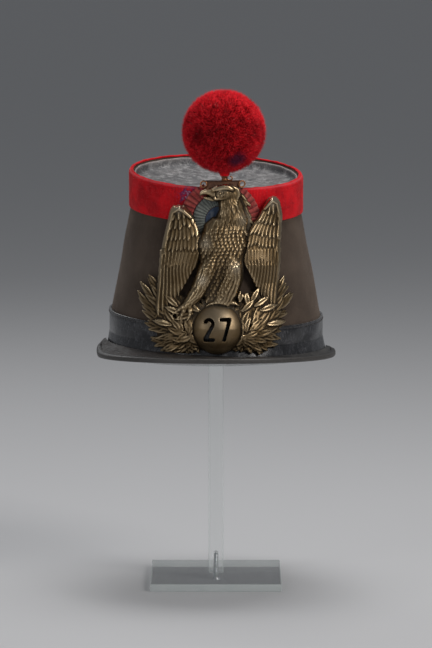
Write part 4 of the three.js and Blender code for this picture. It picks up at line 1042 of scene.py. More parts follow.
# Painted light: the colour grows paler toward the right, the side the key light comes from.
right = range_in(tree, side, -70, 80)
cells = node_in(tree, "ShaderNodeTexVoronoi", {"Vector": place, "Scale": 0.75}, feature="DISTANCE_TO_EDGE")
craze = range_in(tree, cells.outputs["Distance"], 0, 0.12, 1, 0)
blotches = noise_in(tree, place, 0.1, 5, 0.7, 0.5)
grain = noise_in(tree, place, 1.3, 4, 0.7)
dark = blend_in(tree, right, (0.009, 0.007, 0.0065, 1), (0.012, 0.012, 0.013, 1))
pale = blend_in(tree, right, (0.034, 0.026, 0.022, 1), (0.085, 0.082, 0.077, 1))
ground = blend_in(tree, range_in(tree, blotches, 0.36, 0.66), dark, pale)
craze_share = maths_in(tree, "MULTIPLY", craze, range_in(tree, grain, 0.38, 0.6, 0.2, 0.75))
ground = blend_in(tree, craze_share, ground, (0.015, 0.012, 0.011, 1))
wear = field_in(tree, "wear")
wear = maths_in(tree, "MULTIPLY", wear, range_in(tree, grain, 0.45, 0.65, 0, 0.5))
ground = blend_in(tree, wear, ground, (0.2, 0.17, 0.15, 1))
feed(shader, "Base Color", ground)
feed(shader, "Roughness", range_in(tree, blotches, 0.35, 0.65, 0.42, 0.7))
first = bump_in(tree, shader, craze, -0.18, 0.7)
bump_in(tree, shader, grain, 0.1, 0.5, first)
place_piece(leather_peak, crazed_leather, ["peak"])

# Peak binding
# A narrow strip of thin black leather folded over the peak's edge and sewn through.
# Its fold is rubbed shiny, and a thin pale line along the front is painted on it as a highlight over that
# wear.
BINDING_ANGLE = 82
BINDING_REACH = 3
BINDING_THICKNESS = 0.8
BINDING_STEPS = 340
STRIP_STITCH_LENGTH = 1.7
STRIP_STITCH_PITCH = 2.6
STRIP_SEAM_INSET = 0.9
binding_inner = PEAK_THICKNESS / 2 + GAP
binding_outer = binding_inner + BINDING_THICKNESS
binding_nose = GAP + BINDING_THICKNESS
binding_outline = soft_outline([
    (-BINDING_REACH, binding_inner, 0.15),
    (-BINDING_REACH, binding_outer, 0.35),
    (0, binding_outer, 1.2),
    (binding_nose, binding_inner, 0.6),
    (binding_nose, -binding_inner, 0.6),
    (0, -binding_outer, 1.2),
    (-BINDING_REACH, -binding_outer, 0.35),
    (-BINDING_REACH, -binding_inner, 0.15),
    (GAP, -binding_inner, 0),
    (GAP, binding_inner, 0),
], 0.5)
binding_angle = np.radians(np.linspace(-BINDING_ANGLE + 1, BINDING_ANGLE - 1, BINDING_STEPS))
binding_edge = peak_point(binding_angle, 1.0, 0.5)
binding_way = binding_edge - peak_point(binding_angle, 0.67, 0.5)
binding_way /= np.linalg.norm(binding_way, axis=1)[:, None]
pinch = 0.07 * np.sin(binding_angle * 96)[:, None] * np.clip((binding_outline[:, 1] - 1) / 0.6, 0, 1)[None, :]
binding_up = np.broadcast_to(binding_outline[None, :, 1], (BINDING_STEPS, len(binding_outline))) + pinch
binding_sections = binding_edge[:, None, :] + binding_way[:, None, :] * binding_outline[None, :, :1]
binding_sections[..., 2] += binding_up
fold_rub_and_highlight = np.clip((binding_outline[:, 0] + 0.6) / 1.2, 0, 1)[None, :] * np.ones((BINDING_STEPS, 1))
peak_strip = capped_piece("peak_strip", binding_sections, {"wear": fold_rub_and_highlight})
strip_leather, tree, shader = new_finish("strip_leather", roughness=0.5, coat_weight=0.15, coat_roughness=0.3)
place = place_in(tree)
grain = noise_in(tree, place, 1.1, 5, 0.7)
ground = blend_in(tree, grain, (0.005, 0.005, 0.006, 1), (0.018, 0.017, 0.017, 1))
# The pale line along the fold is partly rubbed wear and partly a painted highlight.
wear = field_in(tree, "wear")
wear = maths_in(tree, "MULTIPLY", wear, range_in(tree, grain, 0.36, 0.62, 0.1, 0.85))
feed(shader, "Base Color", blend_in(tree, wear, ground, (0.07, 0.063, 0.056, 1)))
bump_in(tree, shader, grain, 0.1, 0.5)
place_piece(peak_strip, strip_leather, ["peak_binding"])
strip_path = binding_edge - binding_way * (BINDING_REACH - STRIP_SEAM_INSET)
strip_path[:, 2] += binding_outer + 0.02
strip_stitch = stitch_shape("strip_stitch", STRIP_STITCH_LENGTH, 0.2)
strip_stitches = sew(
    "strip_stitches", strip_path, strip_stitch, thread, STRIP_STITCH_PITCH,
    seed=17, facing=((0, 0, 0), (0, 0, 1)),
)
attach(strip_stitches, "root")

# Cockade
# Three rings of pleated ribbon gathered round a woven middle, once red, white and blue.
# The dyes have faded: the red to rust and pink, the white to a grey green, the blue to slate.
COCKADE_X = 3.4
COCKADE_HEIGHT = 116
COCKADE_THICKNESS = 2.5
COCKADE_RADIUS = 34.1
WHITE_RADIUS = 23.3
CENTRE_RADIUS = 12.4
CENTRE_AROUND = 96
CENTRE_ROWS = 22
COCKADE_BACK = GAP + BRAID_THICKNESS + GAP
COCKADE_FACE = COCKADE_BACK + COCKADE_THICKNESS
PLEATS = 46
PLEAT_DEPTH = 0.9
POCKET_WIDTH = 28.5
POCKET_DEPTH = 10.4
POCKET_HEIGHT = 5.6
POCKET_X = 6.2
rim_front = leaned(RIM_HEIGHT + GAP + BRAID_ROLL, POCKET_X - POCKET_WIDTH / 2, CROWN_HALF_DEPTH)
POCKET_FOOT = float(rim_front) + GAP
POCKET_TOP = POCKET_FOOT + POCKET_HEIGHT


def arch(share):
    """A half circle's height over a share of its half width."""
    return np.sqrt(np.maximum(0, 1 - share ** 2))


def level_at(x, z):
    """The level of the front of the wall at places seen from in front."""
    level = z + 0 * x
    for _ in range(4):
        half_width, half_depth, _ = oval_at(level)
        ahead = half_depth * arch(x / half_width)
        raised = z + SIDE_SLOPE * x * np.minimum(1, np.maximum(level, 0) / LEVEL_FOOT)
        level = raised / (1 - RIM_TILT * ahead / RIM_HEIGHT)
    return level


def front_point(x, z, out):
    """Points in front of the wall, by place seen from in front and distance out from the felt's face."""
    half_width, half_depth, centre = oval_at(level_at(x, z))
    ahead = (half_depth + out) * arch(x / (half_width + out))
    return np.stack(np.broadcast_arrays(x, centre - ahead, z), -1)


def pleated_ring(name, inner, outer, finish, clear_top):
    """A ring of knife pleats that lie over one another round the cockade."""
    columns = PLEATS * 8
    angle = full_turn(columns)
    outer_at = outer + 0 * angle
    if clear_top:
        room = POCKET_FOOT - GAP - COCKADE_HEIGHT
        beside = np.abs(np.tan(angle) * room - (POCKET_X - COCKADE_X)) < POCKET_WIDTH / 2 + GAP
        under = (np.cos(angle) > 0) & beside
        outer_at = np.where(under, np.minimum(outer_at, room / np.maximum(np.cos(angle), 0.1)), outer_at)
    share = np.concatenate([np.linspace(0, 1, 12), [1.0, 0.98], np.linspace(0.9, 0.0, 5)])[None, :]
    depth = np.concatenate([np.zeros(12), [0.5, 1.0], np.ones(5)])[None, :]
    fold = (angle * PLEATS / (2 * math.pi) + 0.25 * np.sin(3 * angle) + 0.22 * share) % 1
    step = np.where(fold < 0.86, fold / 0.86, (1 - fold) / 0.14)
    crimp = 0.1 * np.sin(31 * share + 4 * np.sin(5 * angle)) + 0.08 * np.sin(23 * angle)
    face = COCKADE_FACE - PLEAT_DEPTH * step * (0.55 + 0.45 * share) - 0.12 + crimp * 0.5
    face = face - 0.5 * np.clip(1 - share / 0.1, 0, 1) - 0.4 * np.clip((share - 0.94) / 0.06, 0, 1)
    rise = face + (COCKADE_BACK - face) * depth
    radius = inner + (outer_at - inner) * share - 0.5 * (1 - step) * share ** 3
    points = front_point(COCKADE_X + radius * np.sin(angle), COCKADE_HEIGHT + radius * np.cos(angle), rise)
    along = np.broadcast_to(angle * 20, radius.shape)
    uv = np.stack([along * 0.1, radius * 0.1], -1)
    fold_field = np.broadcast_to(step, radius.shape)
    faces = grid_faces(*radius.shape, True, True)
    piece = hat_piece(name, points, faces, uv, {"fold": fold_field})
    turn_outwards(piece)
    piece.data.materials.append(finish)
    return piece


def ribbon_finish(name, dark_tone_and_fold_shade, plain, faded):
    """Old silk ribbon: faded on the crowns and darker in the folds as painted shade, with dark flecks and a
    fine weave.
    """
    finish, tree, shader = new_finish(name, roughness=0.75, sheen_weight=0.2, specular_ior_level=0.25)
    place = place_in(tree)
    blotches = noise_in(tree, place, 0.16, 5, 0.7)
    fine = noise_in(tree, place, 1.8, 4, 0.7)
    fold = field_in(tree, "fold")
    ground = blend_in(tree, range_in(tree, blotches, 0.4, 0.64), plain, faded)
    # Painted shade: the folds of each pleat take the dark colour.
    ground = blend_in(tree, range_in(tree, fold, 0.35, 1.0, 0, 0.85), ground, dark_tone_and_fold_shade)
    ground = blend_in(tree, range_in(tree, fine, 0.5, 0.75, 0, 0.5), ground, dark_tone_and_fold_shade)
    feed(shader, "Base Color", ground)
    surface = node_in(tree, "ShaderNodeTexCoord").outputs["UV"]
    weave = node_in(tree, "ShaderNodeTexWave", {"Vector": surface, "Scale": 12.0, "Distortion": 0.6})
    first = bump_in(tree, shader, weave.outputs["Fac"], 0.08, 0.4)
    bump_in(tree, shader, fine, 0.12, 0.6, first)
    return finish


red_ribbon = ribbon_finish("red_ribbon", (0.06, 0.007, 0.007, 1), (0.3, 0.03, 0.028, 1), (0.55, 0.12, 0.1, 1))
white_ribbon = ribbon_finish(
    "white_ribbon", (0.045, 0.05, 0.045, 1), (0.15, 0.165, 0.15, 1), (0.26, 0.27, 0.24, 1)
)
red_pleats = pleated_ring("red_pleats", WHITE_RADIUS + GAP, COCKADE_RADIUS, red_ribbon, True)
white_pleats = pleated_ring("white_pleats", CENTRE_RADIUS + GAP, WHITE_RADIUS, white_ribbon, False)
place_piece(red_pleats, None, ["cockade_red_ring"])
place_piece(white_pleats, None, ["cockade_white_ring"])

centre_angle = full_turn(CENTRE_AROUND)
centre_share = np.concatenate([np.linspace(0.03, 1, CENTRE_ROWS), [1.0, 0.97, 0.5, 0.03]])[None, :]
centre_depth = np.concatenate([np.zeros(CENTRE_ROWS), [0.5, 1.0, 1.0, 1.0]])[None, :]
pucker = 0.12 * np.sin(12 * centre_angle + 6 * centre_share) * centre_share ** 2
centre_face = COCKADE_FACE + 0.1 - 0.9 * centre_share ** 3 + pucker - 0.12
centre_rise = centre_face + (COCKADE_BACK - centre_face) * centre_depth
centre_radius = CENTRE_RADIUS * centre_share + 0 * centre_angle
centre_points = front_point(
    COCKADE_X + centre_radius * np.sin(centre_angle),
    COCKADE_HEIGHT + centre_radius * np.cos(centre_angle),
    centre_rise,
)
woven_middle = hat_piece("woven_middle", centre_points, closed_faces(*centre_radius.shape))
turn_outwards(woven_middle)
blue_cloth, tree, shader = new_finish(
    "blue_cloth", roughness=0.85, sheen_weight=0.25, specular_ior_level=0.2
)
place = place_in(tree)
fine = noise_in(tree, place, 1.4, 5, 0.75)
threads = node_in(tree, "ShaderNodeTexChecker", {"Vector": place, "Scale": 1.5}).outputs["Fac"]
ground = blend_in(tree, range_in(tree, fine, 0.35, 0.7), (0.018, 0.028, 0.055, 1), (0.07, 0.1, 0.16, 1))
dust = range_in(tree, noise_in(tree, place, 0.3, 3), 0.5, 0.7, 0, 0.6)
ground = blend_in(tree, dust, ground, (0.16, 0.17, 0.18, 1))
feed(shader, "Base Color", ground)
first = bump_in(tree, shader, threads, 0.12, 0.5)
bump_in(tree, shader, fine, 0.15, 0.5, first)
place_piece(woven_middle, blue_cloth, ["cockade_centre"])

# Cockade loops
# Two small rings of copper wire, sewn to the cockade's top edge on both sides of the pocket.
LOOP_RADIUS = 2.6
LOOP_WIRE = 0.7
LOOPS_X = 5.7
LOOP_SPREAD = 16
LOOP_DROP = 3
copper, tree, shader = new_finish("copper_wire", (0.5, 0.22, 0.1, 1), metallic=1, roughness=0.35)
tarnish = noise_in(tree, place_in(tree), 1.2, 4, 0.7)
metal = blend_in(tree, range_in(tree, tarnish, 0.4, 0.65), (0.62, 0.3, 0.15, 1), (0.16, 0.07, 0.04, 1))
feed(shader, "Base Color", metal)
feed(shader, "Roughness", range_in(tree, tarnish, 0.35, 0.65, 0.25, 0.6))


def wire_rings(path, radius, sides):
    """Rings of points round a path, for a round wire."""
    path = np.asarray(path, float)
    along = np.gradient(path, axis=0)
    along /= np.linalg.norm(along, axis=1)[:, None]
    aside = np.cross(along, (0, 1, 0))
    aside /= np.linalg.norm(aside, axis=1)[:, None]
    over = np.cross(aside, along)
    turn = np.arange(sides) * 2 * math.pi / sides
    radius = np.broadcast_to(radius, (len(path),))[:, None, None]
    ring = aside[:, None, :] * np.cos(turn)[None, :, None] + over[:, None, :] * np.sin(turn)[None, :, None]
    return path[:, None, :] + radius * ring


for side, loop_name, node_name in (
    (-1, "left_loop", "cockade_loop_left"),
    (1, "right_loop", "cockade_loop_right"),
):
    loop_x = LOOPS_X + side * LOOP_SPREAD
    loop_z = COCKADE_HEIGHT + COCKADE_RADIUS - LOOP_DROP
    seat = front_point(np.float64(loop_x), loop_z, COCKADE_FACE + GAP + LOOP_WIRE)
    beside = front_point(np.float64(loop_x + 1), loop_z, COCKADE_FACE + GAP + LOOP_WIRE)
    facing = math.atan2(beside[1] - seat[1], beside[0] - seat[0])
    turn = full_turn(64)
    around = full_turn(14).T
    wire = LOOP_WIRE * (1 + 0.06 * np.sin(5 * turn + side))
    reach = LOOP_RADIUS * (1 + 0.03 * np.sin(2 * turn)) + wire * np.cos(around)
    loop_points = np.stack([
        seat[0] + reach * np.cos(turn) * math.cos(facing) - wire * np.sin(around) * math.sin(facing),
        seat[1] + reach * np.cos(turn) * math.sin(facing) + wire * np.sin(around) * math.cos(facing),
        seat[2] + reach * np.sin(turn),
    ], -1)
    loop = hat_piece(loop_name, loop_points, grid_faces(*reach.shape, True, True))
    turn_outwards(loop)
    place_piece(loop, copper, [node_name])

# Pompon pocket
# A small block of brown leather on the front of the rim, bored for the pompon's pin.
PIN_X = 7.2
PIN_RADIUS = 1
PIN_LENGTH = 4
PIN_Y = -CROWN_FORWARD - CROWN_HALF_DEPTH - COCKADE_FACE + POCKET_DEPTH / 2
pocket_share = np.linspace(-0.5, 0.5, 13)
front_plan = front_point(POCKET_X + POCKET_WIDTH * pocket_share, RIM_HEIGHT, COCKADE_FACE)
back_plan = front_point(POCKET_X - POCKET_WIDTH * pocket_share, RIM_HEIGHT, COCKADE_FACE - POCKET_DEPTH)
pocket_plan = np.concatenate([front_plan, back_plan])[:, :2]
pocket_rows = [np.column_stack([pocket_plan, np.full(26, z)]) for z in (POCKET_FOOT, POCKET_TOP)]
leather_pocket = capped_piece("leather_pocket", pocket_rows)
bevel = leather_pocket.modifiers.new("rounded", "BEVEL")
bevel.width = 0.7 * MM
bevel.segments = 4
bevel.limit_method = "ANGLE"
pocket_bore = turned_piece("pocket_bore", [
    (0, HAT_FOOT + POCKET_TOP - PIN_LENGTH - GAP),
    (PIN_RADIUS + GAP, HAT_FOOT + POCKET_TOP - PIN_LENGTH - GAP),
    (PIN_RADIUS + GAP, HAT_FOOT + POCKET_TOP + 2),
    (0, HAT_FOOT + POCKET_TOP + 2),
], 32, (PIN_X, PIN_Y))
cut_bore(leather_pocket, pocket_bore)
leather_pocket.data.set_sharp_from_angle(angle=math.radians(40))
tan_leather, tree, shader = new_finish("tan_leather", roughness=0.6)
place = place_in(tree)
grain = noise_in(tree, place, 0.9, 5, 0.7)
blotches = noise_in(tree, place, 0.22, 4, 0.6)
ground = blend_in(tree, range_in(tree, blotches, 0.35, 0.65), (0.07, 0.026, 0.013, 1), (0.17, 0.07, 0.035, 1))
ground = blend_in(tree, range_in(tree, grain, 0.5, 0.75, 0, 0.7), ground, (0.28, 0.15, 0.085, 1))
feed(shader, "Base Color", ground)
bump_in(tree, shader, grain, 0.16, 0.6)
place_piece(leather_pocket, tan_leather, ["pompon_pocket"])

# Pompon ferrule
# A small turned copper collar with its pin, and a curl of wire soldered to its side.
FERRULE_RADIUS = 3
FERRULE_HEIGHT = 3.6
CURL_RADIUS = 2
CURL_WIRE = 0.6
FERRULE_FOOT = POCKET_TOP + GAP
ferrule_foot = HAT_FOOT + FERRULE_FOOT
collar = turned_piece("collar", [
    (0, ferrule_foot - PIN_LENGTH),
    (PIN_RADIUS - 0.2, ferrule_foot - PIN_LENGTH),
    (PIN_RADIUS, ferrule_foot - PIN_LENGTH + 0.3),
    (PIN_RADIUS, ferrule_foot),
    (FERRULE_RADIUS - 0.3, ferrule_foot),
    (FERRULE_RADIUS, ferrule_foot + 0.3),
    (FERRULE_RADIUS, ferrule_foot + 0.7),
    (FERRULE_RADIUS - 0.35, ferrule_foot + 1.0),
    (0.8 * FERRULE_RADIUS, ferrule_foot + 1.5),
    (0.78 * FERRULE_RADIUS, ferrule_foot + 0.5 * FERRULE_HEIGHT),
    (0.8 * FERRULE_RADIUS, ferrule_foot + 2.1),
    (FERRULE_RADIUS - 0.35, ferrule_foot + 2.6),
    (FERRULE_RADIUS, ferrule_foot + 2.9),
    (FERRULE_RADIUS, ferrule_foot + FERRULE_HEIGHT - 0.3),
    (FERRULE_RADIUS - 0.3, ferrule_foot + FERRULE_HEIGHT),
    (0, ferrule_foot + FERRULE_HEIGHT),
], 48, (PIN_X, PIN_Y))
collar.data.set_sharp_from_angle(angle=math.radians(50))
curl_turn = np.pi * (1 + 1.5 * np.linspace(0, 1, 40))
curl_path = np.stack([
    PIN_X + FERRULE_RADIUS + CURL_RADIUS - CURL_WIRE + CURL_RADIUS * np.cos(curl_turn),
    PIN_Y - CURL_WIRE + 0 * curl_turn,
    FERRULE_FOOT + 0.5 * FERRULE_HEIGHT + 0.8 * CURL_RADIUS * np.sin(curl_turn),
], -1)
curl = capped_piece("curl", wire_rings(curl_path, CURL_WIRE, 12))
place_piece(collar, copper, ["pompon_ferrule"])
place_piece(curl, copper, [])

# Pompon stem
# A wooden peg wrapped with red wool yarn, wider where it enters the ball.
STEM_TOP_RADIUS = 5.7
STEM_FOOT_RADIUS = 3.8
STEM_HEIGHT = 7.5
STEM_IN_BALL = 5.8
YARN_PITCH = 1.15
YARN_RISE = 0.3
STEM_AROUND = 72
STEM_ROWS = 60
STEM_FOOT = FERRULE_FOOT + FERRULE_HEIGHT + GAP
stem_turn = full_turn(STEM_AROUND)
stem_share = np.linspace(0, 1, STEM_ROWS)[None, :]
stem_wrap = (stem_share * STEM_HEIGHT / YARN_PITCH - stem_turn / (2 * math.pi)) % 1
stem_radius = STEM_FOOT_RADIUS + (STEM_TOP_RADIUS - STEM_FOOT_RADIUS) * stem_share
stem_radius = stem_radius - YARN_RISE + YARN_RISE * arch(2 * stem_wrap - 1)
stem_radius = stem_radius * np.where(stem_share < 0.03, 0.9, 1)
stem_points = np.stack(np.broadcast_arrays(
    PIN_X + stem_radius * np.sin(stem_turn),
    PIN_Y - stem_radius * np.cos(stem_turn),
    STEM_FOOT + STEM_HEIGHT * stem_share,
), -1)
wrapped_stem = hat_piece("wrapped_stem", stem_points, closed_faces(*stem_radius.shape))
turn_outwards(wrapped_stem)
place_piece(wrapped_stem, braid_wool, ["pompon_stem"])

# Pompon
# A ball of cut red wool pile, clipped round, with its tips matted into small locks.
# Its dye is uneven, with a dark purple stain low at the right and a few paler fibres.
POMPON_RADIUS = 35.6
POMPON_X = 6.4
POMPON_HEIGHT = STEM_FOOT + STEM_HEIGHT - STEM_IN_BALL + POMPON_RADIUS
PILE_PER_SQUARE_MM = 3.0
PILE_LENGTHS = (2.6, 5.2)
PILE_LOCKS = (0.16, 2.2)
STRAYS_PER_SQUARE_MM = 0.35
STRAY_LENGTHS = (4.5, 6.6)
STRAY_LOCKS = (0.3, 1.6)
HEAD_RADIUS = POMPON_RADIUS - 3.6
HEAD_AROUND = 160
HEAD_ROWS = 80
head_turn = full_turn(HEAD_AROUND)
head_tilt = np.linspace(0.02, math.pi - 0.02, HEAD_ROWS)[None, :]
tufts = np.sin(9 * head_turn + 3 * np.sin(5 * head_tilt)) * np.sin(11 * head_tilt)
tufts = tufts + 0.6 * np.sin(17 * head_turn - 9 * head_tilt) * np.sin(15 * head_tilt + 1)
head_radius = HEAD_RADIUS + 0.55 * tufts * np.sin(head_tilt) - 0.3
head_points = np.stack(np.broadcast_arrays(
    POMPON_X + head_radius * np.sin(head_tilt) * np.sin(head_turn),
    PIN_Y - head_radius * np.sin(head_tilt) * np.cos(head_turn),
    POMPON_HEIGHT - head_radius * np.cos(head_tilt),
), -1)
wool_head = hat_piece("wool_head", head_points, closed_faces(*head_radius.shape))
turn_outwards(wool_head)


def pile_finish(name, root, tip_dark, tip_bright):
    """Cut wool pile: dark at the root and over the ball beneath as painted shade, uneven crimson at the tips,
    with the stain.
    """
    finish, tree, shader = new_finish(
        name, roughness=0.9, sheen_weight=0.4, sheen_roughness=0.45,
        specular_ior_level=0.12, sheen_tint=(1, 0.08, 0.1, 1),
    )
    place = place_in(tree)
    drift = noise_in(tree, place, 0.045, 4, 0.6)
    locks = noise_in(tree, place, 0.33, 4, 0.65)
    tint = field_in(tree, "tint")
    tip = field_in(tree, "tip")
    bright = maths_in(tree, "MULTIPLY_ADD", tint, 0.5, range_in(tree, locks, 0.38, 0.62, -0.25, 0.75))
    ends = blend_in(tree, bright, tip_dark, tip_bright)
    ends = blend_in(tree, range_in(tree, drift, 0.5, 0.66, 0, 0.75), ends, (0.16, 0.001, 0.006, 1))
    ends = blend_in(tree, range_in(tree, tint, 0.985, 0.995, 0, 0.6), ends, (0.75, 0.32, 0.3, 1))
    # Painted shade: the fibres' roots, and the ball under the pile which has no tips, take the dark root
    # colour.
    ground = blend_in(tree, range_in(tree, tip, 0.0, 0.45), root, ends)
    stain_place = (18.5, PIN_Y - 23, HAT_FOOT + POMPON_HEIGHT - 23.5)
    away = node_in(tree, "ShaderNodeVectorMath", {0: place, 1: stain_place}, operation="DISTANCE")
    stained = maths_in(tree, "MULTIPLY_ADD", locks, 9.0, away.outputs["Value"])
    ground = blend_in(tree, range_in(tree, stained, 9, 15, 0.85, 0), ground, (0.045, 0.02, 0.06, 1))
    feed(shader, "Base Color", ground)
    return finish


wool_pile = pile_finish("wool_pile", (0.12, 0.001, 0.003, 1), (0.5, 0.002, 0.008, 1), (1, 0.03, 0.045, 1))
pile_shape = bent_fibre("pile_shape", 0.2)
pile = scatter(
    "wool_pile", wool_head, pile_shape, wool_pile, PILE_PER_SQUARE_MM, PILE_LENGTHS,
    tilt=0.5, seed=21, clump=PILE_LOCKS,
)
stray_shape = bent_fibre("stray_shape", 0.07)
strays = scatter(
    "stray_wool", wool_head, stray_shape, wool_pile, STRAYS_PER_SQUARE_MM, STRAY_LENGTHS,
    tilt=0.8, seed=23, clump=STRAY_LOCKS,
)
place_piece(wool_head, wool_pile, ["pompon"])
for wool in (pile, strays):
    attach(wool, "root")

# Eagle plate
# One brass casting, chased by hand: an eagle with folded wings on laurel leaves, over a pierced ball.
# Every feather, scale and leaf is laid on as its own raised form, and the highest one wins.
PLATE_HALF_WIDTH = 66
PLATE_HEIGHT = 143.5
PLATE_FOOT = 5
PLATE_GAP = 0.8
PLATE_EDGE = 1.3
PLATE_RAMP_FOOT = 18
PLATE_RAMP = 15
BALL_X = 1
BALL_HEIGHT = 27
BALL_RADIUS = 21
BALL_RISE = 10
BALL_WALL = 2
DIGIT_HEIGHT = 20
DIGIT_WIDTH = 9.5
DIGIT_STROKE = 3
DIGIT_SPACE = 4
CHASING_STEP = 0.52
chasing = np.random.default_rng(27)
across_line = np.arange(-PLATE_HALF_WIDTH - 4, PLATE_HALF_WIDTH + 4, CHASING_STEP)
up_line = np.arange(PLATE_FOOT - 3, PLATE_FOOT + PLATE_HEIGHT + 4, CHASING_STEP)
plate_x, plate_z = np.meshgrid(across_line, up_line, indexing="ij")
plate_rise = np.zeros(plate_x.shape)
plate_cover = np.full(plate_x.shape, -6.0)


def softened(field, reach):
    """A field blurred over a reach in millimetres."""
    sigma = reach / CHASING_STEP
    taps = np.exp(-0.5 * (np.arange(-int(3 * sigma), int(3 * sigma) + 1) / sigma) ** 2)
    taps /= taps.sum()
    for axis in (0, 1):
        padding = [(0, 0), (0, 0)]
        padding[axis] = (len(taps) // 2, len(taps) // 2)
        padded = np.pad(field, padding, mode="edge")
        field = np.apply_along_axis(np.convolve, axis, padded, taps, mode="valid")
    return field


def lay(rows, face, ground=None, rise=None, cover=None):
    """Lays a form on the plate along rows of a place and half a width. Its face gives the height."""
    rise = plate_rise if rise is None else rise
    cover = plate_cover if cover is None else cover
    rows = np.array(rows, float)
    margin = rows[:, 2].max() + 1
    low = rows[:, :2].min(0) - margin
    high = rows[:, :2].max(0) + margin
    i0, i1 = np.searchsorted(across_line, (low[0], high[0]))
    j0, j1 = np.searchsorted(up_line, (low[1], high[1]))
    if i1 <= i0 or j1 <= j0:
        return
    patch = np.s_[i0:i1, j0:j1]
    x, z = plate_x[patch], plate_z[patch]
    nearest = np.full(x.shape, 1e9)
    share, side = np.zeros(x.shape), np.zeros(x.shape)
    for k in range(len(rows) - 1):
        start, way = rows[k, :2], rows[k + 1, :2] - rows[k, :2]
        length = max(np.hypot(*way), 1e-6)
        dx, dz = x - start[0], z - start[1]
        t = np.clip((dx * way[0] + dz * way[1]) / length ** 2, 0, 1)
        away = np.hypot(dx - t * way[0], dz - t * way[1])
        better = away < nearest
        nearest = np.where(better, away, nearest)
        share = np.where(better, (k + t) / (len(rows) - 1), share)
        side = np.where(better, np.sign(dx * way[1] - dz * way[0]) * away, side)
    half = np.interp(share, np.linspace(0, 1, len(rows)), rows[:, 2])
    inside = half - nearest
    u = np.clip(side / np.maximum(half, 0.05), -1, 1)
    height = face(share, u)
    if ground is not None:
        height = height + ground[patch]
    kept = (inside > 0) & (height > rise[patch])
    rise[patch] = np.where(kept, height, rise[patch])
    cover[patch] = np.maximum(cover[patch], inside)


def feather(lift, shaft=0.35, cup=0.55):
    """A feather: its tip lifted, its sides falling away from a thin shaft, and one side tucked under."""
    def face(share, u):
        body = lift * (0.25 + 0.75 * share) * (1 - cup * np.abs(u) ** 1.6) - 0.12 * lift * u
        return body + shaft * np.exp(-(u / 0.16) ** 2) * (1 - 0.5 * share)
    return face


def leaf(lift):
    """A laurel leaf: sides sloping up from a sunk vein to a lifted rim, and a curled tip."""
    def face(share, u):
        body = lift * (0.35 + 0.5 * np.sin(math.pi * share ** 0.8) + 0.35 * share ** 3)
        return body + 0.45 * np.abs(u) - 0.5 * np.exp(-(u / 0.16) ** 2) - 0.5 * np.abs(u) ** 6
    return face


def straight_path(x, z, turn, length, half, widths):
    """Rows of a straight form from a place, by shares of its length and of half its width."""
    return [(x + math.cos(turn) * length * s, z + math.sin(turn) * length * s, half * w) for s, w in widths]


def spot_from(x, z, bearing, reach):
    """The place at a bearing in degrees and a distance from another."""
    turn = math.radians(bearing)
    return np.array([x + reach * math.cos(turn), z + reach * math.sin(turn)])


def polygon_distance(corners, x, z):
    """Distance to an outline's edge, above zero inside it."""
    corners = np.array(corners, float)
    nearest = np.full(x.shape, 1e9)
    crossings = np.zeros(x.shape, int)
    for (ax, az), (bx, bz) in zip(corners, np.roll(corners, -1, 0)):
        wx, wz = bx - ax, bz - az
        t = np.clip(((x - ax) * wx + (z - az) * wz) / max(wx * wx + wz * wz, 1e-9), 0, 1)
        nearest = np.minimum(nearest, np.hypot(x - ax - t * wx, z - az - t * wz))
        if az != bz:
            crossings += ((az > z) != (bz > z)) & (x < ax + (z - az) * wx / wz)
    return np.where(crossings % 2 == 1, nearest, -nearest)


# Laurel: long pointed leaves in even rings round a middle on each side, the outer ring lowest
LEFT_FAN = (-22, 22, (
    (66, 26), (86, 34), (104, 42), (112, 52), (121, 61), (137, 61), (148, 52), (162, 42),
    (180, 36), (198, 35), (218, 30), (250, 18), (292, 18), (320, 20),
))
RIGHT_FAN = (24, 22, (
    (112, 26), (94, 34), (76, 42), (66, 50), (55, 62), (42, 57), (28, 44), (14, 36),
    (0, 35), (-19, 31), (-41, 26), (-78, 17), (-118, 17), (-140, 20),
))
LEAF_PITCH = 5.2
LEAF_BED_REACH = 0.72
LEAF_RINGS = (
    # share of the reach, length, half width, lift, floor
    (1.0, 20, 2.7, 1.7, 1.4),
    (0.85, 19, 2.8, 1.8, 2.3),
    (0.69, 18, 2.8, 1.8, 3.2),
    (0.52, 16, 2.7, 1.8, 4.0),
    (0.36, 12, 2.5, 1.8, 4.6),
)
MIDDLE_FAN = (1, 27, (
    (-20, 18), (10, 30), (35, 34), (60, 31), (90, 28), (120, 31), (150, 36), (175, 30), (200, 18),
))
LEAF_WIDTHS = ((0, 0.35), (0.2, 0.75), (0.45, 1), (0.7, 0.8), (0.88, 0.42), (1, 0.06))
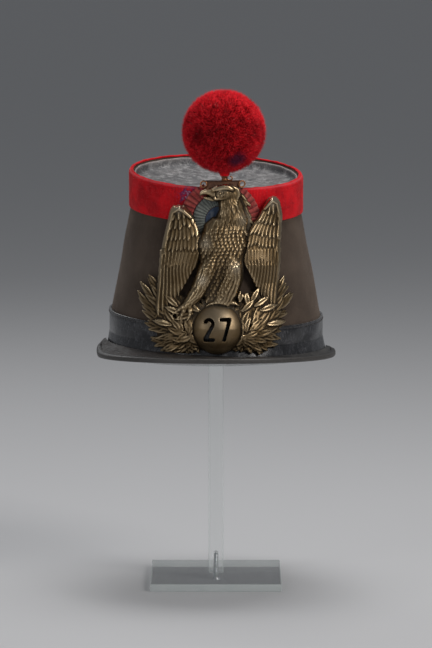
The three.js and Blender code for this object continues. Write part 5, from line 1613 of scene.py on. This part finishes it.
for fan_x, fan_z, reaches in (MIDDLE_FAN, LEFT_FAN, RIGHT_FAN):
    bearings, lengths = np.array(reaches, float).T
    order = np.argsort(bearings)
    bearings, lengths = bearings[order], lengths[order]
    for bearing in np.linspace(bearings[0], bearings[-1], 40):
        far_end = spot_from(fan_x, fan_z, bearing, LEAF_BED_REACH * np.interp(bearing, bearings, lengths))
        lay([(fan_x, fan_z, 3), (*far_end, 2)], lambda share, u: 2.2 - 0.9 * share + 0 * u)
    for reach_share, length, half, lift, floor_rise in LEAF_RINGS:
        turns = np.linspace(bearings[0], bearings[-1], 240)
        ring = reach_share * np.interp(turns, bearings, lengths) * np.exp(1j * np.radians(turns))
        travelled = np.concatenate([[0], np.cumsum(np.abs(np.diff(ring)))])
        count = int(travelled[-1] / LEAF_PITCH)
        for k in range(count):
            spot = (k + 0.5 + chasing.uniform(-0.3, 0.3)) / count * travelled[-1]
            bearing = np.interp(spot, travelled, turns)
            level = floor_rise + chasing.uniform(-0.5, 0.5)
            reach = reach_share * np.interp(bearing, bearings, lengths) * chasing.uniform(0.9, 1.0)
            lean = math.radians(bearing + chasing.uniform(-14, 14))
            tip = spot_from(fan_x, fan_z, bearing, reach)
            way = np.array([math.cos(lean), math.sin(lean)])
            aside = np.array([-way[1], way[0]]) * chasing.uniform(-1.6, 1.6)
            long = min(length, reach * 0.95) * chasing.uniform(0.85, 1.1)
            path = []
            for share, width in LEAF_WIDTHS:
                place = tip - way * long * (1 - share) + aside * math.sin(math.pi * share)
                path.append((place[0], place[1], half * width * chasing.uniform(0.95, 1.05)))
            form = leaf(lift)
            lay(path, lambda share, u, form=form, level=level: level * (1 - 0.25 * share) + form(share, u))

# Wings: the inner and outer edge at each height, from the shoulder down to the tip
LEFT_WING = np.array([
    # height, inner, outer
    (128.6, -28.0, -33.0),
    (126.8, -24.2, -36.2),
    (123.0, -21.0, -38.6),
    (117.0, -17.5, -40.0),
    (106.0, -13.2, -43.2),
    (90.0, -13.2, -46.8),
    (77.0, -17.2, -47.8),
    (65.0, -23.1, -48.6),
    (54.0, -31.0, -49.8),
    (44.0, -39.0, -51.2),
    (35.0, -50.2, -51.8),
])
RIGHT_WING = np.array([
    (135.2, 46.0, 48.6),
    (131.0, 42.0, 52.6),
    (120.0, 36.0, 55.6),
    (107.0, 26.4, 55.4),
    (94.0, 23.1, 54.6),
    (82.0, 23.1, 54.1),
    (70.0, 29.0, 53.2),
    (57.0, 35.0, 51.9),
    (45.0, 44.2, 51.2),
    (38.6, 49.6, 50.8),
])


FLIGHT_FEATHERS = 11
COVERT_ROWS = (
    # above the flight feathers' top, length, number, lift, half width
    (13, 17, 10, 1.1, 2.3),
    (23, 15, 9, 1.55, 2.3),
    (32, 13, 8, 2.0, 2.2),
    (40, 11, 6, 2.4, 2.1),
    (47, 9, 4, 2.7, 1.9),
)


def wing_place(wing, height, share):
    """A place on a wing by height and share of the way from its inner to its outer edge."""
    rows = wing[::-1]
    inner = np.interp(height, rows[:, 0], rows[:, 1])
    outer = np.interp(height, rows[:, 0], rows[:, 2])
    return inner + (outer - inner) * share


def flight_feather(share, u):
    """A long flight feather: a round blade with a thin shaft, tucked under at one side."""
    return 0.15 + 0.75 * (1 - np.abs(u) ** 1.5) + 0.35 * np.exp(-(u / 0.14) ** 2) + 0.2 * u


def chase_wing(wing, flight_top, swell):
    """A folded wing: its body, its long flight feathers, five rows of coverts and its rounded shoulder."""
    top, tip = wing[0, 0], wing[-1, 0]
    inner = wing_place(wing, plate_z, 0.0)
    outer = wing_place(wing, plate_z, 1.0)
    share_across = np.clip((plate_x - inner) / (outer - inner), 0, 1)
    depth = np.clip((plate_z - tip) / 40, 0, 1)
    across = np.clip(share_across * 0.86 + 0.07, 0, 1)
    sheet = 3.0 + swell * (0.4 + 0.6 * depth) * np.sin(math.pi * across) ** 0.8
    inside = np.minimum(np.minimum(np.abs(plate_x - inner), np.abs(plate_x - outer)), top - plate_z)
    on_wing = (share_across > 0) & (share_across < 1) & (plate_z > tip) & (plate_z < top)
    inside = np.where(on_wing, inside, -1)
    np.copyto(plate_rise, np.where((inside > 0) & (sheet > plate_rise), sheet - 0.3, plate_rise))
    np.copyto(plate_cover, np.maximum(plate_cover, inside))
    flight_reach = (flight_top - tip) * 0.84
    for k in reversed(range(FLIGHT_FEATHERS)):
        share = (k + 0.5) / FLIGHT_FEATHERS
        end = tip + 0.5 + flight_reach * (1 - share) ** 1.15
        path = []
        for h in np.linspace(flight_top + 6, end, 9):
            lowest = max(0.0, 1 - (max(h - tip - 0.5, 0) / flight_reach) ** (1 / 1.15))
            local = np.clip((share - lowest) / max(1 - lowest, 0.06), 0.02, 0.98)
            width = abs(wing_place(wing, h, 1) - wing_place(wing, h, 0))
            left = max(1.0, FLIGHT_FEATHERS * (1 - lowest))
            path.append((wing_place(wing, h, local), h, np.clip(0.64 * width / left, 1.2, 2.4)))
        path[-2] = (path[-2][0], path[-2][1], path[-2][2] * 0.85)
        path[-1] = (path[-1][0], path[-1][1], 0.25)
        lay(path, flight_feather, sheet)
    for row, (above, length, number, lift, half) in enumerate(COVERT_ROWS):
        start = flight_top + above
        if start > top + 3:
            continue
        for k in range(number):
            share = (k + 0.5) / number
            sag = 3.5 * math.sin(math.pi * share) * (-1 if row < 2 else 0)
            drop = sag + 5 * share + chasing.uniform(-1.6, 1.6)
            first = min(start - drop, top - 1)
            path = []
            for s, width in ((0, 0.8), (0.35, 1.0), (0.7, 0.95), (0.9, 0.6), (1, 0.1)):
                h = first - length * s
                path.append((wing_place(wing, h, 0.04 + 0.92 * share), h, half * width))
            lay(path, feather(lift, 0.3), sheet)
    outside = [(wing_place(wing, h, 0.93), h, 2.0) for h in np.linspace(top - 1.5, top - 34, 12)]
    lay(outside, lambda s, u: (3.3 - 1.9 * s) * arch(u), sheet)
    shoulder = ((9, 0.1, 1.6), (3.5, 0.3, 2.3), (1.6, 0.6, 2.4), (4.5, 0.86, 2.2))
    shoulder = [(wing_place(wing, top - down, share), top - down, half) for down, share, half in shoulder]
    lay(shoulder, lambda s, u: 3.4 * arch(u), sheet)


chase_wing(LEFT_WING, 84, 3.4)
chase_wing(RIGHT_WING, 86, 3.0)

# Body: the torso and thighs swell first, then hackles, scales and the head's features are laid on them
body_rise = np.zeros(plate_x.shape)
body_cover = np.full(plate_x.shape, -6.0)
TORSO = (
    # x, height, half width, crest
    (10.1, 136.3, 9.0, 6.8),
    (12.6, 127.0, 10.4, 8.2),
    (13.4, 117.0, 14.0, 9.4),
    (8.4, 106.0, 19.6, 10.2),
    (5.3, 95.0, 20.6, 10.4),
    (4.0, 83.0, 18.0, 9.7),
    (3.3, 72.5, 14.0, 8.2),
    (1.0, 61.0, 11.0, 6.4),
    (-1.0, 52.0, 9.0, 4.6),
)
HEAD = (
    # the same, and so for the legs
    (14.0, 138.8, 6.2, 7.0),
    (11.0, 140.2, 6.8, 8.6),
    (6.5, 140.6, 6.6, 9.2),
    (2.0, 139.8, 5.6, 8.4),
    (-1.5, 138.6, 4.4, 7.0),
)
LEFT_LEG = (
    (-1.3, 88.0, 7.5, 10.0),
    (-6.5, 77.0, 8.8, 11.4),
    (-10.8, 68.0, 8.2, 12.0),
    (-15.2, 58.5, 7.0, 10.2),
    (-21.0, 50.5, 5.6, 8.4),
    (-26.5, 45.0, 3.8, 6.8),
)
RIGHT_LEG = (
    (10.5, 90.0, 7.5, 10.2),
    (14.2, 79.0, 9.0, 12.0),
    (13.2, 69.0, 9.6, 11.8),
    (9.8, 59.5, 9.8, 10.4),
    (6.0, 51.5, 8.8, 8.6),
)
for form in (TORSO, HEAD, LEFT_LEG, RIGHT_LEG):
    crests = [row[3] for row in form]
    keys = np.linspace(0, 1, len(form))
    lay(
        [row[:3] for row in form],
        lambda s, u: 2 + (np.interp(s, keys, crests) - 2) * arch(u),
        None, body_rise, body_cover,
    )
body_soft = softened(body_rise, 0.8)
body_soft = np.where(body_cover > -0.4, np.maximum(body_soft, 2.0), 0)
wider = body_cover > 0
np.copyto(plate_rise, np.where(wider, np.maximum(plate_rise * (body_rise < 3), body_soft), plate_rise))
np.copyto(plate_cover, np.maximum(plate_cover, body_cover))
outskirts = np.maximum(body_soft, 2.0)

# Thigh scales, then the belly's and breast's scallops, then the neck's pointed hackles
ROUND_WIDTHS = ((0, 0.75), (0.35, 1.0), (0.65, 1.0), (0.87, 0.8), (1, 0.3))
POINTED_WIDTHS = ((0, 0.7), (0.35, 1.0), (0.65, 0.85), (0.87, 0.5), (1, 0.08))
NAPE_WIDTHS = ((0, 0.9), *POINTED_WIDTHS[1:])


def scale_row(points, way, length, half, lift, pointed):
    """A row of overlapping scales that point one way."""
    for x, z in points:
        slant = math.radians(way + chasing.uniform(-9, 9))
        long = length * chasing.uniform(0.9, 1.12)
        path = straight_path(x, z, slant, long, half, POINTED_WIDTHS if pointed else ROUND_WIDTHS)
        lay(path, feather(lift, 0.25, 0.6), outskirts)


for form, first, last, count in ((LEFT_LEG, 0.05, 0.86, 17), (RIGHT_LEG, 0.05, 0.97, 17)):
    rows = np.array(form)
    keys = np.linspace(0, 1, len(form))
    for k in reversed(range(count)):
        s = first + (last - first) * k / (count - 1)
        x, z, half = (np.interp(s, keys, rows[:, c]) for c in range(3))
        ahead = np.array([np.interp(min(1, s + 0.1), keys, rows[:, c]) for c in (0, 1)]) - (x, z)
        way = math.degrees(math.atan2(ahead[1], ahead[0]))
        normal = np.array([-ahead[1], ahead[0]]) / np.hypot(*ahead)
        spots = np.linspace(-0.84, 0.84, 6) + (0.16 if k % 2 else -0.16)
        spots = [(x + normal[0] * half * w, z + normal[1] * half * w) for w in spots if abs(w) < 0.97]
        scale_row(spots, way, 6.0, 1.6, 1.5, True)
torso = np.array(TORSO)
for k, z in enumerate(np.arange(50, 112, 2.9)):
    x = np.interp(z, torso[::-1, 1], torso[::-1, 0])
    half = np.interp(z, torso[::-1, 1], torso[::-1, 2]) - 1.6
    spots = np.arange(-half + (1.9 if k % 2 else 0), half, 3.7)
    covered = [(x + w, z + 3.2) for w in spots]
    scale_row(covered, -92, 4.6, 2.1, 1.7, False)
NECK = np.array([
    # x, height, half width, way
    (14.0, 139.0, 7.0, -68),
    (14.5, 134.0, 8.2, -72),
    (14.2, 129.0, 9.6, -76),
    (14.0, 124.0, 11.0, -80),
    (13.4, 119.5, 13.0, -84),
    (12.2, 115.0, 15.4, -88),
    (10.8, 111.0, 17.6, -92),
])
for x, z, half, way in NECK[::-1]:
    for pass_share in (0.5, 0.0):
        spots = np.arange(-half + 1.9 * pass_share * 2, half + 0.6, 3.3)
        for w in spots:
            fan = way + 26 * w / half
            scale_row([(x + w, z + 2.2 * pass_share)], fan, 8.2, 1.55, 1.35, True)
for z in np.linspace(141, 107, 15):
    edge_x = np.interp(z, (107, 115, 122, 130, 136, 141), (26.4, 24.8, 22.0, 18.8, 16.8, 15.2))
    slant = math.radians(-58 + chasing.uniform(-6, 6))
    path = straight_path(edge_x - 4.2, z + 3.2, slant, 7.4, 1.9, NAPE_WIDTHS)
    lay(path, lambda s, u: 6.6 - 1.6 * s + feather(2.2, 0.3, 0.6)(s, u))

# Head: a flat brow over the eye, an open hooked beak, the cheek and a smooth crown
UPPER_BEAK = (
    (-0.5, 140.4, 3.9), (-4.0, 141.2, 3.3), (-7.6, 141.3, 2.6),
    (-10.6, 140.6, 1.9), (-12.8, 139.3, 1.2), (-13.4, 137.4, 0.4),
)
LOWER_BEAK = ((0.5, 135.2, 2.7), (-3.5, 135.1, 2.1), (-7.5, 135.6, 1.5), (-10.6, 136.3, 0.5))
MOUTH = ((-7.2, 138.2, 0.5), (0.4, 137.6, 0.6))
BROW = ((13.4, 143.6, 1.6), (10.5, 144.9, 2.2), (6.5, 145.3, 2.5), (2.0, 144.4, 2.4), (-2.0, 142.8, 1.6))
CROWN_BED = ((14.5, 139.6, 6.0), (11.0, 141.4, 6.2), (6.5, 142.0, 5.8), (2.0, 141.2, 4.9), (-1.5, 140.0, 3.8))
CHEEK = ((-0.5, 135.6, 1.7), (3.0, 136.6, 2.4), (7.5, 137.4, 2.6))
lay(CROWN_BED, lambda s, u: 6.6 + 0 * u)
lay(LOWER_BEAK, lambda s, u: 4.6 - 1.4 * s + 1.2 * arch(u))
lay(UPPER_BEAK, lambda s, u: 6.4 - 2.2 * s + 2.0 * arch(u))
lay(MOUTH, lambda s, u: 3.4 + 0 * u)
lay(BROW, lambda s, u: 9.0 + 1.7 * arch(u))
lay(CHEEK, lambda s, u: 7.4 + 1.0 * arch(u))
EYE_PLACE = (3.5, 139.9)
from_eye = np.hypot(plate_x - EYE_PLACE[0], (plate_z - EYE_PLACE[1]) * 1.1)
lid = (from_eye > 2.7) & (from_eye < 3.4) & (plate_z < EYE_PLACE[1] - 0.4)
eye_form = np.where(from_eye < 1.1, 10.4 - 0.7 * from_eye ** 2, np.where(from_eye < 1.65, 8.0, 10.0))
plate_rise = np.where(from_eye < 2.3, eye_form, np.where(lid, 9.6, np.where(from_eye < 2.7, 8.2, plate_rise)))
cere = np.abs(plate_x + 0.9 - (142.5 - plate_z) * 0.22) < 0.4
plate_rise = np.where(cere & (plate_z > 135.5) & (plate_z < 142), np.minimum(plate_rise, 6.4), plate_rise)
for row in range(3):
    for k in range(6):
        spot = (5.0 + 2.2 * k - 0.6 * row, 136.4 - 2.3 * row + 0.5 * (k % 2))
        scale_row([spot], -84 + 5 * k, 4.4, 1.2, 1.3, True)

# Feet: scaled shanks and curved toes that grip the leaves
for toes in (
    # rows of a place across, its height and half a width
    ((-23.5, 48.5, 2.6), (-28.5, 44.6, 2.2), (-33.0, 41.8, 1.6), (-36.6, 38.4, 0.4)),
    ((-24.5, 47.0, 2.4), (-27.5, 41.6, 2.1), (-29.5, 37.0, 1.5), (-29.3, 32.8, 0.4)),
    ((-22.5, 47.0, 2.3), (-21.8, 41.6, 2.0), (-22.4, 37.2, 1.4), (-24.6, 33.8, 0.4)),
    ((5.0, 52.0, 2.6), (0.5, 49.2, 2.1), (-4.5, 48.2, 1.6), (-8.5, 46.0, 0.4)),
    ((8.0, 52.0, 2.5), (12.0, 49.4, 2.1), (16.0, 48.6, 1.6), (19.4, 46.2, 0.4)),
):
    lay(toes, lambda s, u: 6.2 - 1.6 * s + 2.0 * arch(u) + 0.22 * np.sin(26 * s) * (s < 0.7))
for s in np.linspace(0, 1, 7):
    x, z = -14.5 - 8.5 * s, 61.5 - 12.5 * s
    lay(
        ((x - 3.6, z - 1.2, 0.85), (x + 3.4, z + 1.6, 0.85)),
        lambda share, u: 9.0 - 1.8 * s - 2.4 * (2 * share - 1) ** 2 + 0.5 * (1 - u ** 2),
    )

# Leaves that lie over the wing tips and under the legs
SHORT_LEAF_WIDTHS = ((0, 0.4), (0.25, 0.85), (0.5, 1), (0.75, 0.7), (1, 0.08))
for x, z, way, length in (
    # place across, height, bearing, length
    (30, 50, 60, 12), (27, 47, 100, 12), (33, 46, 30, 13), (-20, 40, 200, 15),
    (-30, 40, 160, 14), (38, 42, 15, 14), (-14, 42, 150, 12), (22, 42, 40, 13),
    (-38, 30, 170, 15), (44, 30, 5, 15), (20, 50, 80, 10), (-33, 46, 140, 13),
):
    path = straight_path(x, z, math.radians(way), length, 2.6, SHORT_LEAF_WIDTHS)
    lay(path, lambda s, u: 5.2 + leaf(1.5)(s, u))

# Ball: a smooth dome with a thin raised rim, and a plain two-figure number pierced through it
from_ball = np.hypot(plate_x - BALL_X, plate_z - BALL_HEIGHT)
dome = BALL_RISE * arch(from_ball / (BALL_RADIUS + 0.6)) + 1.2
rim = 2.6 + 1.6 * arch((from_ball - BALL_RADIUS + 1.1) / 1.2)
ball_rise = np.where(from_ball > BALL_RADIUS - 2.3, np.maximum(rim, dome), dome)
plate_rise = np.where(from_ball < BALL_RADIUS, ball_rise, plate_rise)
plate_cover = np.maximum(plate_cover, BALL_RADIUS - from_ball)
figure_foot = BALL_HEIGHT - DIGIT_HEIGHT / 2
bowl = DIGIT_WIDTH / 2
bowl_top = DIGIT_HEIGHT - bowl
two = [(0, 0), (DIGIT_WIDTH, 0), (DIGIT_WIDTH, DIGIT_STROKE), (1.3 * DIGIT_STROKE, DIGIT_STROKE)]
for turn in np.linspace(-0.6, math.pi, 16):
    two.append((bowl + bowl * math.cos(turn), bowl_top + bowl * math.sin(turn)))
two.append((DIGIT_STROKE, bowl_top))
inner_bowl = bowl - DIGIT_STROKE
for turn in np.linspace(math.pi, -0.6, 16):
    two.append((bowl + inner_bowl * math.cos(turn), bowl_top + inner_bowl * math.sin(turn)))
two.append((0, DIGIT_STROKE))
seven = [
    (0.2 * DIGIT_WIDTH, 0),
    (0.2 * DIGIT_WIDTH + DIGIT_STROKE, 0),
    (DIGIT_WIDTH, DIGIT_HEIGHT - DIGIT_STROKE),
    (DIGIT_WIDTH, DIGIT_HEIGHT),
    (0, DIGIT_HEIGHT),
    (0, DIGIT_HEIGHT - DIGIT_STROKE),
    (DIGIT_WIDTH - DIGIT_STROKE, DIGIT_HEIGHT - DIGIT_STROKE),
]
pierced = np.full(plate_x.shape, -6.0)
for outline, x in ((two, BALL_X - DIGIT_WIDTH - DIGIT_SPACE / 2), (seven, BALL_X + DIGIT_SPACE / 2)):
    placed = [(x + px, figure_foot + pz) for px, pz in outline]
    pierced = np.maximum(pierced, polygon_distance(placed, plate_x, plate_z))
LEFT_GAP = ((-17.6, 78.6), (-15.9, 73.5), (-25.6, 52.8), (-31.0, 55.2))
RIGHT_GAP = ((22.3, 84.6), (28.5, 70.5), (33.4, 57.8), (20.4, 55.4), (23.4, 71.0))
for outline in (LEFT_GAP, RIGHT_GAP):
    pierced = np.maximum(pierced, polygon_distance(outline, plate_x, plate_z))
plate_cover = np.minimum(plate_cover, -pierced)
peak_line = PEAK_ROOT_HEIGHT + PLATE_GAP - SIDE_SLOPE * plate_x
plate_cover = np.minimum(plate_cover, plate_z - peak_line)

# The casting: hand marks, softened edges, and a back that is hollow behind the ball
plate_rise = np.maximum(softened(plate_rise, 0.24), PLATE_EDGE)
plate_back_rise = np.where(from_ball < BALL_RADIUS - BALL_WALL, np.maximum(dome - 1.2 - BALL_WALL, 0), 0)
plate_cover = softened(plate_cover, 0.4)
slope_x, slope_z = np.gradient(plate_cover, CHASING_STEP)
steep = np.maximum(slope_x ** 2 + slope_z ** 2, 0.04)
cell_cover = (plate_cover[:-1, :-1] + plate_cover[1:, :-1] + plate_cover[:-1, 1:] + plate_cover[1:, 1:]) / 4
cells = cell_cover > 0
pad = np.pad(cells, 1)
whole = pad[1:-1, 1:-1] & (pad[:-2, 1:-1] | pad[2:, 1:-1]) & (pad[1:-1, :-2] | pad[1:-1, 2:])
pad = np.pad(whole, 1)
corner = np.zeros(plate_x.shape, int)
for di, dj in ((0, 0), (1, 0), (0, 1), (1, 1)):
    corner += pad[di:di + plate_x.shape[0], dj:dj + plate_x.shape[1]]
at_edge = (corner > 0) & (corner < 4)
move = np.clip(plate_cover / steep, -2, 2)
half_step = 0.5 * CHASING_STEP
final_x = plate_x + np.where(at_edge, np.clip(-move * slope_x, -half_step, half_step), 0)
final_z = plate_z + np.where(at_edge, np.clip(-move * slope_z, -half_step, half_step), 0)


def plate_seat(x, z):
    """How far the plate's back stands off the felt, over the band and then over the cockade."""
    over_band = BAND_FACE + flare_at(level_at(x, z))
    lift = np.clip((z - COCKADE_HEIGHT + COCKADE_RADIUS + PLATE_RAMP_FOOT) / PLATE_RAMP, 0, 1)
    return over_band + (np.maximum(over_band, COCKADE_FACE) - over_band) * lift + PLATE_GAP


seat = plate_seat(final_x, final_z)
used = corner > 0
number = np.full(plate_x.shape, -1)
number[used] = np.arange(used.sum())
total = int(used.sum())
face_points = front_point(final_x[used], final_z[used], (seat + plate_rise)[used])
back_points = front_point(final_x[used], final_z[used], (seat + plate_back_rise)[used])
ci, cj = np.nonzero(whole)
quads = np.stack([number[ci, cj], number[ci + 1, cj], number[ci + 1, cj + 1], number[ci, cj + 1]], -1)
edges = np.concatenate([quads[:, [0, 1]], quads[:, [1, 2]], quads[:, [2, 3]], quads[:, [3, 0]]])
keys = edges[:, 0].astype(np.int64) * total + edges[:, 1]
partners = edges[:, 1].astype(np.int64) * total + edges[:, 0]
rims = edges[~np.isin(keys, partners)]
walls = np.stack([rims[:, 1], rims[:, 0], rims[:, 0] + total, rims[:, 1] + total], -1)
plate_faces = np.concatenate([quads, quads[:, ::-1] + total, walls])
fine_relief = np.clip((plate_rise - softened(plate_rise, 0.9)) * 1.6, -1, 1)
broad_relief = np.clip((plate_rise - softened(plate_rise, 3.2)) * 0.45, -1, 1)
cavity = np.clip(0.5 + 0.5 * (0.65 * fine_relief + 0.5 * broad_relief), 0, 1)
# Paler spots on the high points, set where highlights fall: partly real rubbing, partly painted highlight.
rubbed_highlight_spots = np.zeros(plate_x.shape)
for spot_x, spot_z, reach, strength in (
    # place across, height, reach, strength
    (-9, 98.5, 4.5, 0.6), (-11.4, 68, 4, 0.7), (18, 78, 4.5, 0.6), (4, 146, 5, 0.5),
    (-31, 127.5, 4, 0.8), (48, 133, 5, 0.8), (25, 118, 5, 0.5), (1, 38, 12, 0.35),
):
    rubbed_highlight_spots += strength * np.exp(-((plate_x - spot_x) ** 2 + (plate_z - spot_z) ** 2) / reach ** 2)
plate_points = np.concatenate([face_points, back_points])
plate_fields = {"cavity": cavity, "rubbed_highlight": np.clip(rubbed_highlight_spots, 0, 1)}
plate_fields = {key: np.tile(field[used], 2) for key, field in plate_fields.items()}
eagle = hat_piece("eagle_casting", plate_points, plate_faces, None, plate_fields)
turn_outwards(eagle)
brass, tree, shader = new_finish("aged_brass", metallic=1, roughness=0.4)
place = place_in(tree)
patina = noise_in(tree, place, 0.09, 5, 0.65)
grain = noise_in(tree, place, 1.5, 5, 0.75)
relief = field_in(tree, "cavity")
relief = maths_in(tree, "MULTIPLY_ADD", grain, 0.16, maths_in(tree, "SUBTRACT", relief, 0.08))
rubbed_highlight = field_in(tree, "rubbed_highlight")
warm = blend_in(tree, range_in(tree, patina, 0.35, 0.65), (0.15, 0.098, 0.046, 1), (0.21, 0.15, 0.085, 1))
dark = blend_in(tree, range_in(tree, grain, 0.35, 0.65), (0.014, 0.008, 0.003, 1), (0.045, 0.029, 0.013, 1))
ground = blend_in(tree, range_in(tree, relief, 0.34, 0.56), dark, warm)
ground = blend_in(tree, range_in(tree, relief, 0.58, 0.85), ground, (0.5, 0.38, 0.23, 1))
# Painted highlight over real rubbing on the high points.
ground = blend_in(tree, maths_in(tree, "MULTIPLY", rubbed_highlight, 0.75), ground, (0.66, 0.56, 0.42, 1))
feed(shader, "Base Color", ground)
rough = range_in(tree, relief, 0.3, 0.75, 0.62, 0.3)
rough = maths_in(tree, "SUBTRACT", rough, maths_in(tree, "MULTIPLY", rubbed_highlight, 0.1))
feed(shader, "Roughness", rough)
feed(shader, "Metallic", range_in(tree, relief, 0.22, 0.42, 0.6, 1))
bump_in(tree, shader, grain, 0.07, 0.6)
place_piece(eagle, brass, ["eagle_plate"])
